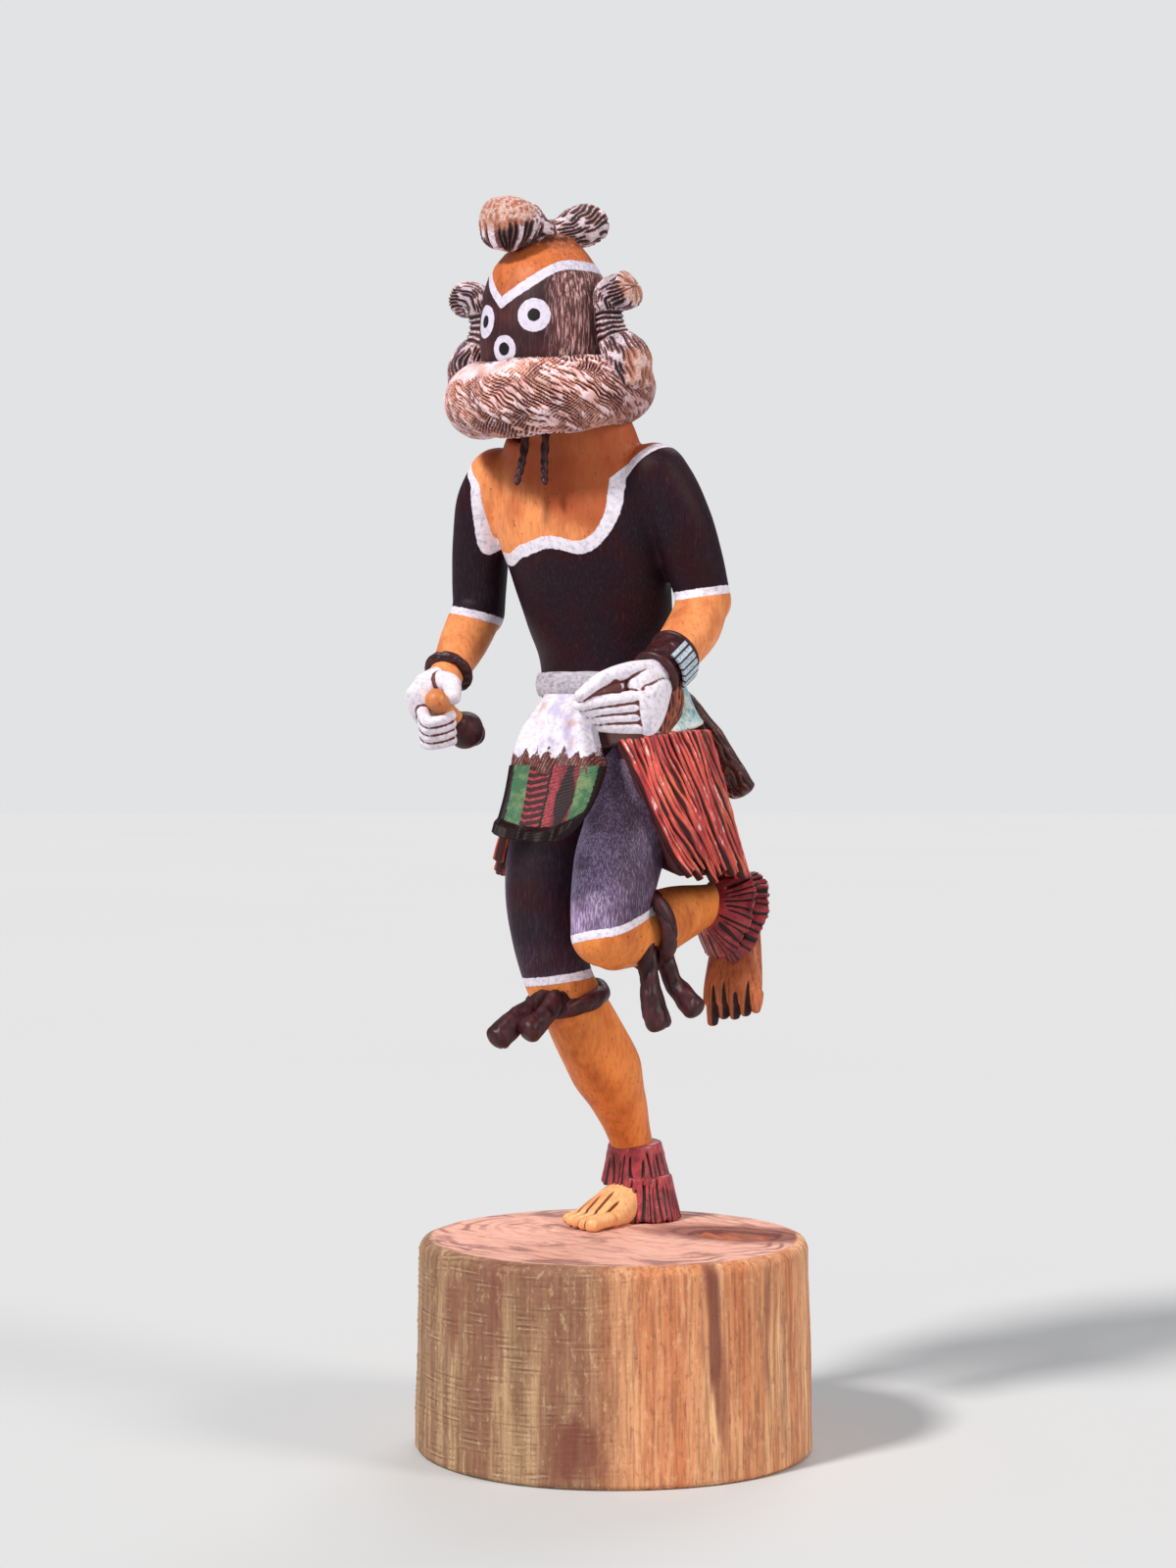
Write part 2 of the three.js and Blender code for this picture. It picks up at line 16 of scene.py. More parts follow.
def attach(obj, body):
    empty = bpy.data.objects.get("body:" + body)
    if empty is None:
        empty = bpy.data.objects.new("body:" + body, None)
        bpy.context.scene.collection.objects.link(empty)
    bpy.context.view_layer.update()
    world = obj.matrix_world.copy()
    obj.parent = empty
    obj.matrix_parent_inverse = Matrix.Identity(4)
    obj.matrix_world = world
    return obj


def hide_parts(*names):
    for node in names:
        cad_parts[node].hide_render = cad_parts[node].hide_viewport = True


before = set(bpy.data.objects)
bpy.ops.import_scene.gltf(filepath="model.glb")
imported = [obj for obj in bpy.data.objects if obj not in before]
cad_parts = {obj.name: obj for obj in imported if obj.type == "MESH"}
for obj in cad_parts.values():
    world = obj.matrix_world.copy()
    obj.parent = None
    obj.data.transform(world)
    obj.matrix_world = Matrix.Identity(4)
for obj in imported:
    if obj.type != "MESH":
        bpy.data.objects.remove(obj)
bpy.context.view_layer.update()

# ------------------------------------------------------------------------------------------------------------
# The studio. The camera looks slightly down at the dancer from its left front. The floor is plain and pale,
# with one soft key light from the camera's left, weaker ones from its right and from behind, and a pale sky.
VIEW_TURN = math.radians(40)
VIEW_DISTANCE = 0.640
VIEW_HEIGHT = 0.143
AIM_LEFT = math.radians(0.459)
AIM_DOWN = math.radians(1.274)
LENS = 75.9

camera = bpy.data.objects.new("camera", bpy.data.cameras.new("camera"))
bpy.context.scene.collection.objects.link(camera)
bpy.context.scene.camera = camera
camera.data.lens = LENS
camera.data.clip_start = 0.01
camera.location = (VIEW_DISTANCE * math.sin(VIEW_TURN), -VIEW_DISTANCE * math.cos(VIEW_TURN), VIEW_HEIGHT)
aim = Matrix.Rotation(VIEW_TURN + AIM_LEFT, 3, "Z") @ Vector((0, 1, 0))
aim.z = -math.tan(AIM_DOWN)
camera.rotation_mode = "QUATERNION"
camera.rotation_quaternion = aim.to_track_quat("-Z", "Y")


def lamp(name, turn, climb, softness, power, colour):
    """A far light of a given softness in degrees, turned round from the dancer's front towards its left."""
    light = bpy.data.lights.new(name, "SUN")
    light.angle = math.radians(softness)
    light.energy = power
    light.color = colour
    made = bpy.data.objects.new(name, light)
    bpy.context.scene.collection.objects.link(made)
    out = Matrix.Rotation(math.radians(turn), 3, "Z") @ Matrix.Rotation(math.radians(-climb), 3, "X")
    made.rotation_mode = "QUATERNION"
    made.rotation_quaternion = (out @ Vector((0, 1, 0))).to_track_quat("-Z", "Y")


lamp("key", -6, 44, 9, 3.0, (1.0, 0.97, 0.93))
lamp("side", 100, 30, 20, 1.25, (1.0, 0.93, 0.86))
lamp("back", 205, 45, 30, 0.8, (0.93, 0.96, 1.0))

bpy.context.scene.view_settings.view_transform = "Standard"

bm = bmesh.new()
bmesh.ops.create_circle(bm, cap_ends=True, segments=96, radius=4)
floor_mesh = bpy.data.meshes.new("floor")
bm.to_mesh(floor_mesh)
bm.free()
floor = bpy.data.objects.new("floor", floor_mesh)
bpy.context.scene.collection.objects.link(floor)


class Shade:
    """A value in a material's node tree. Python's operators on it add Math nodes."""

    def __init__(self, tree, socket=None):
        self.tree = tree
        self.socket = socket

    def node(self, kind, settings=(), inputs=(), output=0):
        """Adds a node: first its settings, then the values or links of its sockets."""
        made = self.tree.nodes.new("ShaderNode" + kind)
        for name, value in dict(settings).items():
            setattr(made, name, value)
        for name, value in dict(inputs).items():
            live = [s for s in made.inputs if s.enabled and s.name == name]
            socket = made.inputs[name] if isinstance(name, int) else live[0]
            if isinstance(value, Shade):
                self.tree.links.new(value.socket, socket)
            elif isinstance(value, tuple) and socket.type == "RGBA":
                socket.default_value = (*value, 1)
            else:
                socket.default_value = value
        return Shade(self.tree, [s for s in made.outputs if s.enabled][output])

    def maths(self, operation, *values):
        return self.node("Math", {"operation": operation}, dict(enumerate(values)))

    def __add__(self, other):
        return self.maths("ADD", self, other)

    def __radd__(self, other):
        return self.maths("ADD", other, self)

    def __sub__(self, other):
        return self.maths("SUBTRACT", self, other)

    def __rsub__(self, other):
        return self.maths("SUBTRACT", other, self)

    def __mul__(self, other):
        return self.maths("MULTIPLY", self, other)

    def __rmul__(self, other):
        return self.maths("MULTIPLY", other, self)

    def __abs__(self):
        return self.maths("ABSOLUTE", self)

    def most(self, other):
        return self.maths("MAXIMUM", self, other)

    def zigzag(self):
        """1 at each whole number, and 0 half-way to the next."""
        return abs(self.maths("FRACT", self) - 0.5) * 2

    def rise(self, low, high):
        """0 below low, 1 above high, and a smooth slope between."""
        steps = {"Value": self, "From Min": low, "From Max": high}
        return self.node("MapRange", {"interpolation_type": "SMOOTHSTEP"}, steps)

    def mix(self, share, first, second):
        """A colour between two, by share."""
        return self.node("Mix", {"data_type": "RGBA"}, {"Factor": share, "A": first, "B": second})

    def scaled(self, x, y, z):
        """A place with each of its parts multiplied."""
        return self.node("VectorMath", {"operation": "MULTIPLY"}, {0: self, 1: (x, y, z)})

    def apart(self, x, y, z):
        """The distance of a place from a point."""
        return self.node("VectorMath", {"operation": "DISTANCE"}, {0: self, 1: (x, y, z)})

    def blotches(self, size, detail=3, roughness=0.55, distortion=0):
        """Noise from 0 to 1 at a place, in blotches of about that size."""
        look = {"Vector": self, "Scale": 1 / size, "Detail": detail, "Roughness": roughness}
        return self.node("TexNoise", {}, {**look, "Distortion": distortion})

    def parts(self):
        """The three parts of a place."""
        return [self.node("SeparateXYZ", {}, {0: self}, part) for part in range(3)]

    def attribute(self, name):
        """A value that each vertex holds."""
        return self.node("Attribute", {"attribute_name": name}, output=2)

    def place(self):
        """The place in the object's frame, in millimetres."""
        return self.node("TexCoord", output=3).scaled(1000, 1000, 1000)


def surface(name, look, **fixed):
    """A material. look gives its colour, its roughness and the height of its relief in millimetres."""
    made = bpy.data.materials.new(name)
    made.use_nodes = True
    shader = made.node_tree.nodes["Principled BSDF"]
    shade = Shade(made.node_tree)
    colour, roughness, height = look(shade)
    bump = shade.node("Bump", {}, {"Height": height, "Distance": 0.001})
    for socket, value in (("Base Color", colour), ("Roughness", roughness), ("Normal", bump)):
        made.node_tree.links.new(value.socket, shader.inputs[socket])
    for socket, value in fixed.items():
        shader.inputs[socket.replace("_", " ")].default_value = value
    return made


def tint(red, green, blue):
    """A paint's colour from three numbers up to 255, as the shader takes it."""
    return tuple(((c / 255 + 0.055) / 1.055) ** 2.4 if c > 10 else c / 3295 for c in (red, green, blue))


def paper(shade):
    where = shade.place()
    colour = shade.mix(where.blotches(400), tint(202, 203, 204), tint(206, 207, 208))
    return colour, 0.9 + 0.04 * where.blotches(30), 0.01 * where.blotches(2)


floor.data.materials.append(surface("pale_paper", paper))

sky = bpy.data.worlds.new("studio")
bpy.context.scene.world = sky
sky.use_nodes = True
air = Shade(sky.node_tree)
seen = air.node("LightPath", output=0)
glow = air.mix(seen, (0.27, 0.28, 0.30), tint(226, 227, 228))
sky.node_tree.links.new(glow.socket, sky.node_tree.nodes["Background"].inputs["Color"])

# ------------------------------------------------------------------------------------------------------------
# The base is a round of cottonwood log with the bark off, sawn flat above and below and sanded a little. Fine
# saw ridges run round its left front, dark stains run down the grain, and a knot with a crack opens behind
# the foot.
LOG_TOP = 41
LOG_FOOT_RADIUS = 38.3
LOG_TOP_RADIUS = 37.4
LOG_EDGE = 2
LOG_ROWS = 204
LOG_SIDES = 236
SAW_PITCH = 1.12
FINE_SAW_PITCH = 0.71
RING_PITCH = 3.3
KNOT = (16, 17.5)
SAWN_FACE = -105
STAINS = (
    # degrees round from the left side, half its width in degrees, middle height, half its height, and depth
    (-20.5, 3.2, 31, 15, 1.0),
    (-18.5, 1.5, 14, 12, 0.7),
    (-62, 7, 7, 7, 0.8),
    (-104, 5, 30, 9, 0.7),
    (-88, 3.5, 33, 8, 0.6),
    (-94, 6, 15, 7, 0.5),
    (-42, 3, 34, 8, 0.4),
    (-2, 1.6, 27, 14, 0.6),
    (6, 1.0, 20, 16, 0.5),
    (70, 6, 25, 14, 0.6),
    (150, 9, 18, 12, 0.5),
)


LATTICE = np.random.default_rng(3)
SHUFFLE = LATTICE.permutation(256)
PULLS = LATTICE.normal(size=(256, 3))
PULLS /= np.linalg.norm(PULLS, axis=1, keepdims=True)


def wave(places, size, seed=0.0):
    """Smooth noise from -1 to 1 at each place, in blotches of about that size."""
    spot = np.asarray(places, float) / size + seed
    corner = np.floor(spot).astype(int)
    inside = spot - corner
    ease = inside ** 3 * (inside * (6 * inside - 15) + 10)
    total = np.zeros(len(spot))
    for step in np.ndindex(2, 2, 2):
        x, y, z = (corner + step).T
        pull = PULLS[SHUFFLE[(SHUFFLE[(SHUFFLE[x % 256] + y) % 256] + z) % 256]]
        share = np.where(np.array(step) > 0, ease, 1 - ease).prod(axis=1)
        total += share * np.einsum("ij,ij->i", pull, inside - step)
    return total * 1.5


def slope(values, low, high):
    """0 below low, 1 above high, and a smooth slope between."""
    share = np.clip((values - low) / (high - low), 0, 1)
    return share * share * (3 - 2 * share)


def drum(bm, profile, rows, sides):
    """A turned form about Z: an outline of (radius, height) from pole to pole, cut in rows and spun.

    A flat underside gets few rows.
    """
    radii, heights = np.array(profile, float).T
    lengths = np.hypot(np.diff(radii), np.diff(heights))
    lengths[0] *= 0.1 if heights[0] == heights[1] else 1
    reach = np.concatenate([[0], np.cumsum(lengths)])
    marks = np.linspace(0, reach[-1], rows + 1)
    points = zip(np.interp(marks, reach, radii), np.interp(marks, reach, heights))
    line = [bm.verts.new((r, 0, z)) for r, z in points]
    edges = [bm.edges.new(pair) for pair in zip(line, line[1:])]
    bmesh.ops.spin(bm, geom=line + edges, cent=(0, 0, 0), axis=(0, 0, 1), angle=2 * math.pi, steps=sides,
                   use_merge=True)
    bmesh.ops.remove_doubles(bm, verts=bm.verts, dist=1e-5)
    bmesh.ops.recalc_face_normals(bm, faces=bm.faces)


def spots(mesh):
    """A mesh's vertices as rows of numbers."""
    flat = np.empty(len(mesh.vertices) * 3, np.float32)
    mesh.vertices.foreach_get("co", flat)
    return flat.reshape(-1, 3).astype(float)


def shift(mesh, places):
    """Moves a mesh's vertices to rows of numbers."""
    mesh.vertices.foreach_set("co", places.astype(np.float32).ravel())


def meshed(name, bm):
    """The mesh of a bmesh, which is used up."""
    mesh = bpy.data.meshes.new(name)
    bm.to_mesh(mesh)
    bm.free()
    return mesh


def named(name, bm):
    """An object of a bmesh, smooth, still in millimetres."""
    mesh = meshed(name, bm)
    mesh.polygons.foreach_set("use_smooth", [True] * len(mesh.polygons))
    made = bpy.data.objects.new(name, mesh)
    bpy.context.scene.collection.objects.link(made)
    return made


def note(piece, name, values):
    """Keeps a value for each vertex, which the piece's material reads."""
    layer = piece.data.attributes.new(name, "FLOAT", "POINT")
    layer.data.foreach_set("value", np.asarray(values, np.float32))


def settle(piece, height, material):
    """Puts a finished piece in metres at its height above the floor, and paints it."""
    piece.data.transform(Matrix.Scale(0.001, 4) @ Matrix.Translation((0, 0, height)))
    piece.data.materials.clear()
    piece.data.materials.append(material)


bm = bmesh.new()
drum(bm, [(0, 0), (LOG_FOOT_RADIUS - 0.6, 0), (LOG_FOOT_RADIUS, 0.8), (LOG_TOP_RADIUS, LOG_TOP - LOG_EDGE),
          (LOG_TOP_RADIUS - 0.1 * LOG_EDGE, LOG_TOP - 0.65 * LOG_EDGE),
          (LOG_TOP_RADIUS - 0.35 * LOG_EDGE, LOG_TOP - 0.3 * LOG_EDGE),
          (LOG_TOP_RADIUS - LOG_EDGE, LOG_TOP), (0, LOG_TOP)], LOG_ROWS, LOG_SIDES)
log_round = named("log_round", bm)
at = spots(log_round.data)
angle = np.arctan2(at[:, 1], at[:, 0])
radius = np.hypot(at[:, 0], at[:, 1])
waver = 1 + 0.008 * np.sin(2 * angle + 0.6) + 0.005 * np.sin(5 * angle + 2)
at[:, 0] *= waver
at[:, 1] *= waver
on_side = slope(radius, LOG_TOP_RADIUS - 3, LOG_TOP_RADIUS - 0.5) * slope(at[:, 2], 0.2, 1.5)
sawn = slope(np.cos(angle - math.radians(SAWN_FACE)), 0.35, 0.85) + 0.22
level = at[:, 2] + 1.1 * wave(at, 20) + 0.35 * wave(at * (1, 1, 1.5), 5, 5) - 0.05 * at[:, 0]
saw = np.sin(2 * math.pi * level / SAW_PITCH) + 0.7 * np.sin(2 * math.pi * level / FINE_SAW_PITCH + 1)
saw = saw * np.clip(0.5 + 0.7 * wave(at * (1, 1, 1.6), 6, 3) + 0.3 * wave(at * (1, 1, 3), 2.2, 8), 0, 1.2)
grain = wave(at * (1, 1, 0.08), 1.3, 8) + 0.7 * wave(at * (1, 1, 0.12), 0.7, 2)
chips = wave(at * (1, 1, 0.5), 1.1, 12)
push = on_side * (0.12 * sawn * saw + 0.09 * grain + 0.05 * chips + 0.25 * wave(at, 14, 6))
at[:, 0] += push * np.cos(angle)
at[:, 1] += push * np.sin(angle)
stain = np.zeros(len(at))
ragged = 5.0 * wave(at * (1, 1, 0.12), 1.4, 21) + 5 * wave(at * (1, 1, 0.2), 7, 4)
for round_at, half, middle, tall, depth in STAINS:
    aside = (np.degrees(angle) - round_at + 180) % 360 - 180
    beside = np.abs(aside + 0.5 * ragged) / half
    above = np.abs(at[:, 2] - middle + 0.8 * ragged) / tall
    stain = np.maximum(stain, depth * slope(1.8 - beside, 0, 1.4) * slope(1.4 - above, 0, 1.0))

on_top = slope(at[:, 2], LOG_TOP - 0.35 * LOG_EDGE, LOG_TOP) * slope(LOG_TOP_RADIUS - radius, 1.0, 3.0)
east, north = at[:, 0] - KNOT[0], at[:, 1] - KNOT[1]
knot_u = 0.102 * east + 0.028 * north
knot_v = 0.178 * north - 0.050 * east
knot = np.hypot(knot_u, knot_v) + 0.10 * wave(at, 5, 4)
hollow = 1.45 * np.sqrt(np.clip(1 - knot ** 2, 0, 1)) + 0.30 * slope(1.5 - knot, 0, 0.6)
swirl = np.sin(15 * knot + 2.5 * wave(at, 4, 7)) * slope(1.45 - knot, 0, 0.7)
crack_line = knot_v + 0.42 + 0.16 * np.sin(3.2 * knot_u + 0.6) + 0.10 * wave(at, 2.2, 9)
crack = np.exp(-(crack_line / 0.10) ** 2) * slope(1.08 - np.abs(knot_u + 0.05), 0, 0.35)
lip = np.exp(-((crack_line - 0.26) / 0.15) ** 2) * slope(1.0 - np.abs(knot_u), 0, 0.4)
ring = np.hypot(at[:, 0] + 3, 1.15 * (at[:, 1] - 3)) + 4.5 * wave(at, 16, 3) + 1.6 * wave(at, 6, 5)
growth = 0.5 + 0.5 * np.sin(2 * math.pi * ring / RING_PITCH) * slope(wave(at, 11, 9), -0.5, 0.4)
sway_top = 0.10 * wave(at * (1, 1, 0.2), 9, 2) + 0.05 * wave(at * (0.5, 1.8, 1), 1.6, 1) - 0.03 * growth
at[:, 2] += on_top * (sway_top - 0.05 - 0.85 * hollow + 0.22 * swirl - 2.1 * crack + 0.95 * lip)
shift(log_round.data, at)
for name, values in (("top", on_top), ("knot", knot), ("crack", on_top * crack), ("lip", on_top * lip),
                     ("saw", on_side * sawn * saw), ("sawn", sawn), ("stain", stain), ("growth", growth)):
    note(log_round, name, values)


def bare_wood(shade):
    where = shade.place()
    streak = where.scaled(1, 1, 0.035).blotches(3.0, 4, 0.6)
    fine = where.scaled(1, 1, 0.05).blotches(0.6, 3, 0.6)
    broad = where.scaled(1, 1, 0.12).blotches(12, 3, 0.5)
    chips = where.scaled(1, 1, 0.45).blotches(0.9, 3, 0.6)
    saw = shade.attribute("saw")
    clear = shade.mix(streak.rise(0.34, 0.66), tint(204, 124, 80), tint(252, 200, 148))
    clear = shade.mix(broad.rise(0.42, 0.62) * 0.6, clear, tint(212, 130, 84))
    olive = shade.mix(streak.rise(0.36, 0.66), tint(140, 106, 76), tint(196, 160, 120))
    olive = shade.mix(broad.rise(0.46, 0.64) * 0.8, olive, tint(138, 92, 70))
    side = shade.mix(shade.attribute("sawn").rise(0.25, 1.1), clear, olive)
    side = shade.mix(fine.rise(0.60, 0.34) * 0.5, side, tint(120, 66, 44))
    side = shade.mix(chips.rise(0.56, 0.70) * 0.25, side, tint(246, 214, 166))
    side = shade.mix(chips.rise(0.44, 0.30) * 0.4, side, tint(110, 62, 46))
    # Painted highlight on the saw ridges, and painted shade in the troughs between them.
    side = shade.mix(saw.rise(0.3, 1.4) * 0.22, side, tint(248, 220, 186))
    side = shade.mix(saw.rise(-0.1, -1.1) * 0.48, side, tint(96, 58, 48))
    stain = shade.attribute("stain") * (streak.rise(0.30, 0.62) * 0.6 + fine * 0.5 + 0.15)
    side = shade.mix(stain.rise(0.10, 0.85) * 0.85, side, tint(112, 48, 38))
    growth = shade.attribute("growth")
    fibre = where.scaled(0.35, 1.3, 1).blotches(2.2, 4, 0.65, 0.6)
    smudge = where.scaled(0.7, 1.2, 1).blotches(9, 4, 0.6, 0.5)
    top = shade.mix(growth.rise(0.35, 0.95) * 0.30, tint(232, 174, 154), tint(176, 106, 88))
    top = shade.mix(fibre.rise(0.50, 0.70) * 0.6, top, tint(170, 106, 92))
    top = shade.mix(fibre.rise(0.44, 0.30) * 0.4, top, tint(250, 216, 204))
    top = shade.mix(smudge.rise(0.50, 0.66) * 0.7, top, tint(140, 88, 84))
    outer_rings = where.apart(0, 0, LOG_TOP).rise(25, 33) * growth.rise(0.45, 0.95)
    top = shade.mix(outer_rings * 0.7, top, tint(104, 62, 62))
    knot = shade.attribute("knot")
    swirl = (knot * 2.6 + smudge).zigzag()
    top = shade.mix((knot + smudge * 1.2).rise(3.1, 1.8) * 0.9, top, tint(134, 66, 48))
    top = shade.mix(knot.rise(1.7, 1.2) * swirl.rise(0.3, 0.8) * 0.6, top, tint(66, 30, 26))
    top = shade.mix(knot.rise(1.0, 0.6) * fibre.rise(0.35, 0.6) * 0.7, top, tint(150, 72, 46))
    top = shade.mix(shade.attribute("lip").rise(0.2, 0.8) * 0.85, top, tint(182, 98, 60))
    # Painted shade: the crack is darkened nearly black.
    top = shade.mix(shade.attribute("crack").rise(0.10, 0.5), top, tint(20, 6, 4))
    colour = shade.mix(shade.attribute("top").rise(0.2, 0.9), side, top)
    height = 0.14 * streak + 0.12 * fine + 0.05 * fibre + 0.10 * chips + 0.05 * where.blotches(0.35, 2)
    return colour, 0.62 + 0.2 * fine, height


settle(log_round, 0, surface("bare_cottonwood", bare_wood))
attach(log_round, "root")
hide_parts("base")

# ------------------------------------------------------------------------------------------------------------
# The standing leg is the right one: thigh, knee, calf and a bare foot that points straight ahead. It is
# carved with the rest of the figure and sanded. The thigh is painted aubergine down to a white line above the
# knee, and below it the skin is ochre.
THIGH = 8.3
CALF = 7
ANKLE = 3.9
STANDING_HEM = 49.2
DOME_SHARE = 0.14


def spline(stations, places):
    """Points of a smooth curve through rows of numbers, at places from 0 to 1 along it."""
    rows = np.asarray(stations, float)
    rows = np.vstack([2 * rows[0] - rows[1], rows, 2 * rows[-1] - rows[-2]])
    spot = np.clip(places, 0, 1) * (len(rows) - 3)
    first = np.minimum(spot.astype(int), len(rows) - 4)
    share = (spot - first)[:, None]
    a, b, c, d = (rows[first + i] for i in range(4))
    before, gap, after = (np.maximum(np.linalg.norm(q - p, axis=1), 1e-6)[:, None] ** 0.5
                          for p, q in ((a, b), (b, c), (c, d)))
    leave = ((b - a) / before - (c - a) / (before + gap) + (c - b) / gap) * gap
    reach = ((c - b) / gap - (d - b) / (gap + after) + (d - c) / after) * gap
    bend = 3 * (c - b) - 2 * leave - reach
    return b + leave * share + bend * share ** 2 + (2 * (b - c) + leave + reach) * share ** 3


def turned(degrees):
    """A level direction, in degrees round from the left side towards the back."""
    return np.array([math.cos(math.radians(degrees)), math.sin(math.radians(degrees)), 0])


def unit(rows):
    """Each row of numbers at length 1."""
    rows = np.asarray(rows, float)
    return rows / np.linalg.norm(rows, axis=-1, keepdims=True)


def set_on_log(piece, material):
    """Sets a zone of the figure over the log, paints it, hangs it on the root body and hides the imported
    figure.
    """
    settle(piece, LOG_TOP, material)
    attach(piece, "root")
    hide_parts("figure")


def both(found):
    """What a relief gives: how far the surface stands out, and the number that the paint reads."""
    return found if isinstance(found, tuple) else (found, found)


def add_form(bm, mesh, places, shown):
    """Adds a mesh to a bmesh with its vertices moved, and with a number on each for the paint to read."""
    shift(mesh, places)
    mesh.attributes.new("relief", "FLOAT", "POINT").data.foreach_set("value", shown.astype(np.float32))
    bm.from_mesh(mesh)
    bpy.data.meshes.remove(mesh)


BALLS = {}


def ball(sides, rings):
    """A ball's mesh, made once for each number of sides and rings and then copied."""
    if (sides, rings) not in BALLS:
        own = bmesh.new()
        bmesh.ops.create_uvsphere(own, u_segments=sides, v_segments=rings, radius=1)
        BALLS[sides, rings] = meshed("ball", own)
    return BALLS[sides, rings].copy()


def limb(bm, stations, sides=40, rings=48, across=(1, 0, 0), dome=0.7, relief=None, flank_shade=0.0):
    """Adds a round form through stations of (x, y, height, half width, half depth).

    The width lies along across, and dome is how far each end bulges, in radii. relief gives how far the
    surface stands out, in millimetres, from the angle round, the share along and the place, and may give a
    second number for the paint to read instead. flank is taken off that at both ends of the width, as
    painted shade where forms lie side by side.
    """
    mesh = ball(sides, rings)
    flat = spots(mesh)
    turn = np.arctan2(flat[:, 1], flat[:, 0])
    climb = np.arcsin(np.clip(flat[:, 2], -1, 1)) / math.pi + 0.5
    along = np.clip((climb - DOME_SHARE) / (1 - 2 * DOME_SHARE), 0, 1)
    over = (climb - np.clip(climb, DOME_SHARE, 1 - DOME_SHARE)) / DOME_SHARE * math.pi / 2
    rows = np.array([tuple(s) if len(s) > 4 else (*s, s[3]) for s in stations], float)
    centre = spline(rows[:, :3], along)
    ahead = unit(spline(rows[:, :3], along + 0.001) - spline(rows[:, :3], along - 0.001))
    across = np.asarray(across, float)
    wide = unit(across - ahead * (ahead @ across)[:, None])
    deep = np.cross(ahead, wide)
    girth = spline(rows[:, 3:], along)
    out = wide * np.cos(turn)[:, None] * girth[:, :1] + deep * np.sin(turn)[:, None] * girth[:, 1:]
    out = out * np.cos(over)[:, None]
    place = centre + out + ahead * (np.sin(over) * dome * girth.min(axis=1))[:, None]
    shown = np.zeros(len(place))
    if relief:
        stand, shown = both(relief(turn, along, place))
        place += unit(out + ahead * (np.sin(over) * girth.min(axis=1))[:, None] + 1e-9) * stand[:, None]
    add_form(bm, mesh, place, shown - flank_shade * np.abs(np.cos(turn)) ** 4)


def joined(name, bm, grain, passes):
    """An object of forms that overlap, fused into one skin with faces of about the size of the grain."""
    made = named(name, bm)
    fuse = made.modifiers.new("fuse", "REMESH")
    fuse.mode = "VOXEL"
    fuse.voxel_size = grain
    ease = made.modifiers.new("ease", "SMOOTH")
    ease.iterations = passes
    ease.factor = 0.5
    skin = bpy.data.meshes.new_from_object(made.evaluated_get(bpy.context.evaluated_depsgraph_get()))
    made.modifiers.clear()
    made.data = skin
    skin.polygons.foreach_set("use_smooth", [True] * len(skin.polygons))
    return made


def carved(piece, height, size, seed=0.0):
    """Moves the surface in and out by up to about height, as a knife and sandpaper leave it."""
    at = spots(piece.data)
    normals = np.empty(len(at) * 3, np.float32)
    piece.data.vertices.foreach_get("normal", normals)
    at += normals.reshape(-1, 3) * (height * wave(at, size, seed))[:, None]
    shift(piece.data, at)


def skin_paint(shade, where, light=tint(236, 142, 72), wash=tint(172, 76, 32)):
    """Ochre paint rubbed on bare wood: thin brown wash in blotches, and dark specks in the pores."""
    fine = where.scaled(1, 1, 0.25).blotches(0.7, 3)
    colour = shade.mix(where.scaled(1, 1, 0.5).blotches(6, 3, 0.6).rise(0.42, 0.74) * 0.65, light, wash)
    colour = shade.mix(fine.rise(0.40, 0.8) * 0.45, colour, wash)
    pores = where.scaled(1, 1, 0.45).blotches(0.42, 2, 0.4).rise(0.68, 0.78)
    colour = shade.mix(pores * 0.75, colour, tint(82, 28, 14))
    return colour, 0.34 + 0.25 * fine, 0.03 * fine - 0.12 * pores


def dark_paint(shade, where, sheen_and_wear):
    """Aubergine paint over wood, rubbed brown in streaks, with a painted lilac sheen and fine lilac flecks of
    wear.
    """
    streak = where.scaled(1, 1, 0.16).blotches(0.8, 4, 0.65)
    flecks = where.scaled(1, 1, 0.12).blotches(0.26, 3, 0.7)
    patch = where.blotches(8, 3, 0.55)
    colour = shade.mix(patch.rise(0.35, 0.7) * 0.6, tint(22, 1, 6), tint(46, 6, 13))
    colour = shade.mix(streak.rise(0.56, 0.80) * patch.rise(0.44, 0.66) * 0.55, colour, tint(120, 52, 44))
    # A painted lilac sheen where the sheen and wear are given, with fine lilac flecks of wear on it.
    worn_and_sheen = patch.rise(1.0, 0.25) * sheen_and_wear
    colour = shade.mix(worn_and_sheen * 0.8, colour, tint(132, 104, 142))
    colour = shade.mix((flecks + worn_and_sheen * 0.06).rise(0.46, 0.72) * worn_and_sheen * 0.75, colour, tint(214, 198, 238))
    return colour, 0.40 + 0.25 * streak, 0.05 * streak + 0.05 * flecks


def white_paint(shade, where):
    """Thick white paint, a little blue-grey in its brush marks."""
    marks = where.blotches(0.9, 4, 0.65)
    colour = shade.mix(marks.rise(0.42, 0.78), tint(242, 234, 244), tint(188, 184, 208))
    return shade.mix(where.blotches(3.5).rise(0.56, 0.74) * 0.30, colour, tint(206, 170, 170)), marks


def painted_leg(shade):
    where = shade.place()
    edge = shade.attribute("hem") + (where.blotches(0.8, 3) - 0.5) * 0.5
    thigh, thigh_rough, thigh_height = dark_paint(shade, where, shade.attribute("sheen_and_wear"))
    skin, skin_rough, skin_height = skin_paint(shade, where)
    white, _ = white_paint(shade, where)
    on_thigh = edge.rise(1.15, 1.35)
    on_white = edge.rise(-0.55, -0.35)
    colour = shade.mix(on_white, skin, shade.mix(on_thigh, white, thigh))
    rough = skin_rough + on_thigh * (thigh_rough - skin_rough)
    return colour, rough, skin_height + on_thigh * (thigh_height - skin_height) + on_white * 0.06


leg_paint = surface("painted_leg", painted_leg, Specular_IOR_Level=0.22)

